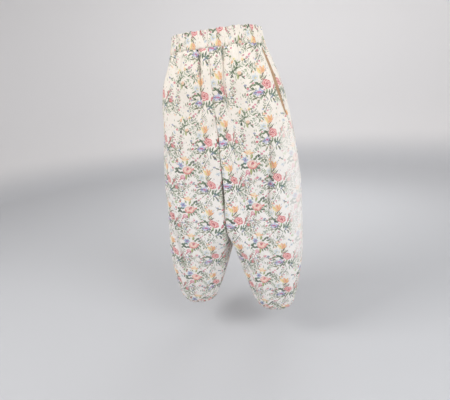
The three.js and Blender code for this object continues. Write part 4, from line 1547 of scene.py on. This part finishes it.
class TrouserStage(PropertyGroup):
    """The floor, the lights and the camera."""

    floor_gap: length_property("Floor gap", "Height of the hems above the floor", 0.15, 0.0, 1.0)
    stage_reach: length_property("Stage reach", "Radius of the pale floor", 3.4, 1.0, 10.0)
    lens: FloatProperty(name="Lens", description="Focal length of the camera", default=24.0, min=10.0,
                        max=200.0, subtype="DISTANCE_CAMERA", unit="CAMERA")
    key: FloatProperty(name="Key light", description="Power of the large soft light", default=38.0,
                       min=0.0, max=500.0, unit="POWER")
    fill: FloatProperty(name="Fill light", description="Power of the light on the other side",
                        default=30.0, min=0.0, max=500.0, unit="POWER")
    overhead: FloatProperty(name="Overhead light", description="Power of the light above",
                            default=3.0, min=0.0, max=500.0, unit="POWER")
    wall: FloatProperty(name="Wall light", description="Power of the light on the wall behind",
                        default=26.0, min=0.0, max=500.0, unit="POWER")
    wall_colour: colour_property("Wall", "Colour of the wall", (238, 236, 236))
    floor_colour: colour_property("Floor", "Colour of the floor", (204, 205, 208))


# ---------------------------------------------------------------- operators


class TROUSERS_OT_panels(Operator):
    """Sew the four leg panels, with their creases and gathers"""

    bl_idname = "trousers.panels"
    bl_label = "Leg panels"

    def execute(self, context):
        for side in SIDES:
            for face in FACES:
                sew_panel(side, face)
        return {"FINISHED"}


class TROUSERS_OT_waistband(Operator):
    """Sew the elastic casing at the waist"""

    bl_idname = "trousers.waistband"
    bl_label = "Waistband"

    def execute(self, context):
        sew_waistband()
        return {"FINISHED"}


class TROUSERS_OT_hems(Operator):
    """Sew the gathered casing at each hem"""

    bl_idname = "trousers.hems"
    bl_label = "Hem casings"

    def execute(self, context):
        for side in SIDES:
            sew_hem(side)
        return {"FINISHED"}


class TROUSERS_OT_pockets(Operator):
    """Sew the pocketing behind each opening"""

    bl_idname = "trousers.pockets"
    bl_label = "Pockets"

    def execute(self, context):
        for side in SIDES:
            sew_pocket(side)
        return {"FINISHED"}


class TROUSERS_OT_stitching(Operator):
    """Stitch the waist casing, the hem casings and the pocket edges"""

    bl_idname = "trousers.stitching"
    bl_label = "Stitching"

    def execute(self, context):
        if not PANELS:
            raise RuntimeError("sew the panels and the casings before their stitching")
        band = casing_line("band", BAND_STITCH, STITCH_RAISE)
        sew_line("stitching_waist", [band])
        for side in SIDES:
            hem = casing_line(("hem", side), HEM_STITCH, STITCH_RAISE)
            sew_line(f"stitching_hem_{side}", [hem])
            front = PANELS[side, "front"]
            drops = np.linspace(POCKET_TOP + 8, POCKET_END - 8, 120)
            line = front.line(drops, POCKET_STITCH, STITCH_RAISE)
            up = front.line(drops, POCKET_STITCH, STITCH_RAISE + 1) - line
            sew_line(f"stitching_pocket_{side}", [(line, up)])
        return {"FINISHED"}


class TROUSERS_OT_stage(Operator):
    """Set the pale floor, the soft lights and the camera"""

    bl_idname = "trousers.stage"
    bl_label = "Stage"

    def execute(self, context):
        stage = context.scene.trouser_stage
        floor_height = CAD_BOX[0].z - stage.floor_gap
        backdrop(floor_height, stage.stage_reach)
        middle = Vector((0.0, 0.0, (CAD_BOX[0].z + CAD_BOX[1].z) / 2))
        soft_light("Key light", (-1.9, -1.35, 1.25), middle, 1.1, stage.key, (1.0, 0.99, 0.98))
        soft_light("Fill light", (1.9, -1.2, 0.6), middle, 1.4, stage.fill, (0.97, 0.985, 1.0))
        soft_light("Overhead light", (0.2, 0.3, 1.75), middle, 2.2, stage.overhead, (1.0, 0.99, 0.97))
        soft_light("Wall light", (0.0, 1.4, 1.3), Vector((0.0, 4.4, 0.1)), 1.6, stage.wall, (1.0, 1.0, 1.0))
        soft_light("Back light", (0.4, 1.9, 0.5), middle, 1.5, 0.25 * stage.fill, (1.0, 1.0, 1.0))
        world = bpy.data.worlds.new("Studio")
        world.use_nodes = True
        sky = world.node_tree.nodes["Background"]
        sky.inputs["Color"].default_value = (1.0, 1.0, 1.0, 1.0)
        sky.inputs["Strength"].default_value = 0.45
        context.scene.world = world
        context.scene.view_settings.view_transform = "Standard"
        set_camera(stage.lens)
        return {"FINISHED"}


# ---------------------------------------------------------------- stage

CORNER_BEND = 0.9         # radius of the sweep from the floor to the wall


def backdrop(height, reach):
    """A round pale floor that sweeps up into a low wall all round."""
    bend = CORNER_BEND
    profile = [(reach * s, 0.0) for s in (0.15, 0.4, 0.7, 1.0)]
    for a in np.linspace(0.0, math.pi / 2, 10)[1:]:
        profile.append((reach + bend * math.sin(a), bend * (1 - math.cos(a))))
    profile += [(reach + bend, bend + h) for h in (0.6, 1.3, 2.2)]
    around = np.linspace(0.0, 2 * math.pi, 96, endpoint=False)
    rings = np.array([
        [(r * math.cos(a), r * math.sin(a), h + height) for a in around] for r, h in profile
    ])
    count = len(around)
    faces = quads(len(profile), count, False, wrap=True)[:, ::-1].tolist()
    faces.append(list(range(count)))
    piece = add_mesh("studio_floor", rings / MM, faces)
    only(piece)
    bpy.ops.object.mode_set(mode="EDIT")
    bpy.ops.mesh.select_all(action="SELECT")
    bpy.ops.mesh.normals_make_consistent(inside=True)
    bpy.ops.object.mode_set(mode="OBJECT")
    bpy.ops.object.shade_smooth_by_angle(angle=math.radians(40))
    material, tree, shader = new_material("Studio floor")
    spot = tree.add("ShaderNodeTexCoord").outputs["Object"]
    mottle = tree.noise(spot, 1.4)
    stage = bpy.context.scene.trouser_stage
    rise = tree.add("ShaderNodeSeparateXYZ", {0: spot}).outputs[2]
    rise = tree.add("ShaderNodeMapRange", {"Value": rise, "From Min": height, "From Max": height + 0.4},
                    interpolation_type="SMOOTHSTEP").outputs[0]
    pale = tree.mix(rise, (*stage.floor_colour, 1.0), (*stage.wall_colour, 1.0))
    tint = tree.mix(tree.math("MULTIPLY", mottle, 0.05), pale, (*stage.floor_colour, 1.0))
    tree.links.new(tint, shader.inputs["Base Color"])
    shader.inputs["Roughness"].default_value = 0.8
    piece.data.materials.append(material)


def soft_light(name, place, target, size, power, colour):
    """A large square lamp that looks at a point."""
    lamp = bpy.data.lights.new(name, "AREA")
    lamp.shape = "SQUARE"
    lamp.size = size
    lamp.energy = power
    lamp.color = colour
    holder = bpy.data.objects.new(name, lamp)
    bpy.context.scene.collection.objects.link(holder)
    holder.location = place
    holder.rotation_euler = (target - Vector(place)).to_track_quat("-Z", "Y").to_euler()
    return holder


CAMERA_PLACE = (0.2774, -1.0455, -0.2175)
CAMERA_RIGHT = (0.9649, 0.2498, -0.0809)
CAMERA_UP = (-0.002, 0.3149, 0.9491)
CAMERA_SHIFT = 0.0022


def set_camera(lens):
    """The camera in front of the wearer's left side, looking slightly down."""
    camera = bpy.data.cameras.new("Camera")
    camera.lens = lens
    camera.sensor_width = 36.0
    camera.shift_x = CAMERA_SHIFT
    camera.clip_start, camera.clip_end = 0.01, 50.0
    holder = bpy.data.objects.new("Camera", camera)
    bpy.context.scene.collection.objects.link(holder)
    right = Vector(CAMERA_RIGHT).normalized()
    back = right.cross(Vector(CAMERA_UP)).normalized()
    up = back.cross(right)
    turn = Matrix((right, up, back)).transposed()
    holder.matrix_world = Matrix.Translation(CAMERA_PLACE) @ turn.to_4x4()
    bpy.context.scene.camera = holder


class TROUSERS_PT_sidebar(Panel):
    """Lists the pieces of the trousers and their settings"""

    bl_label = "Barrel Leg Trousers"
    bl_idname = "TROUSERS_PT_sidebar"
    bl_space_type = "VIEW_3D"
    bl_region_type = "UI"
    bl_category = "Trousers"

    def draw(self, context):
        for group in (context.scene.trousers, context.scene.trouser_colours, context.scene.trouser_stage):
            box = self.layout.box()
            for name in group.__annotations__:
                box.prop(group, name)
        for operator in OPERATORS:
            self.layout.operator(operator.bl_idname)


OPERATORS = (
    TROUSERS_OT_panels, TROUSERS_OT_waistband, TROUSERS_OT_hems, TROUSERS_OT_pockets,
    TROUSERS_OT_stitching, TROUSERS_OT_stage,
)
CLASSES = (TrouserSettings, TrouserColours, TrouserStage, *OPERATORS, TROUSERS_PT_sidebar)


def register():
    """Adds the settings, the operators and the panel."""
    for each in CLASSES:
        bpy.utils.register_class(each)
    bpy.types.Scene.trousers = PointerProperty(type=TrouserSettings)
    bpy.types.Scene.trouser_colours = PointerProperty(type=TrouserColours)
    bpy.types.Scene.trouser_stage = PointerProperty(type=TrouserStage)


def unregister():
    """Takes them away again."""
    del bpy.types.Scene.trouser_stage
    del bpy.types.Scene.trouser_colours
    del bpy.types.Scene.trousers
    for each in reversed(CLASSES):
        bpy.utils.unregister_class(each)


def main():
    """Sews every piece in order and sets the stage."""
    register()
    bpy.ops.trousers.panels()
    bpy.ops.trousers.waistband()
    bpy.ops.trousers.hems()
    bpy.ops.trousers.pockets()
    bpy.ops.trousers.stitching()
    bpy.ops.trousers.stage()
    bpy.context.view_layer.update()


if __name__ == "__main__":
    main()
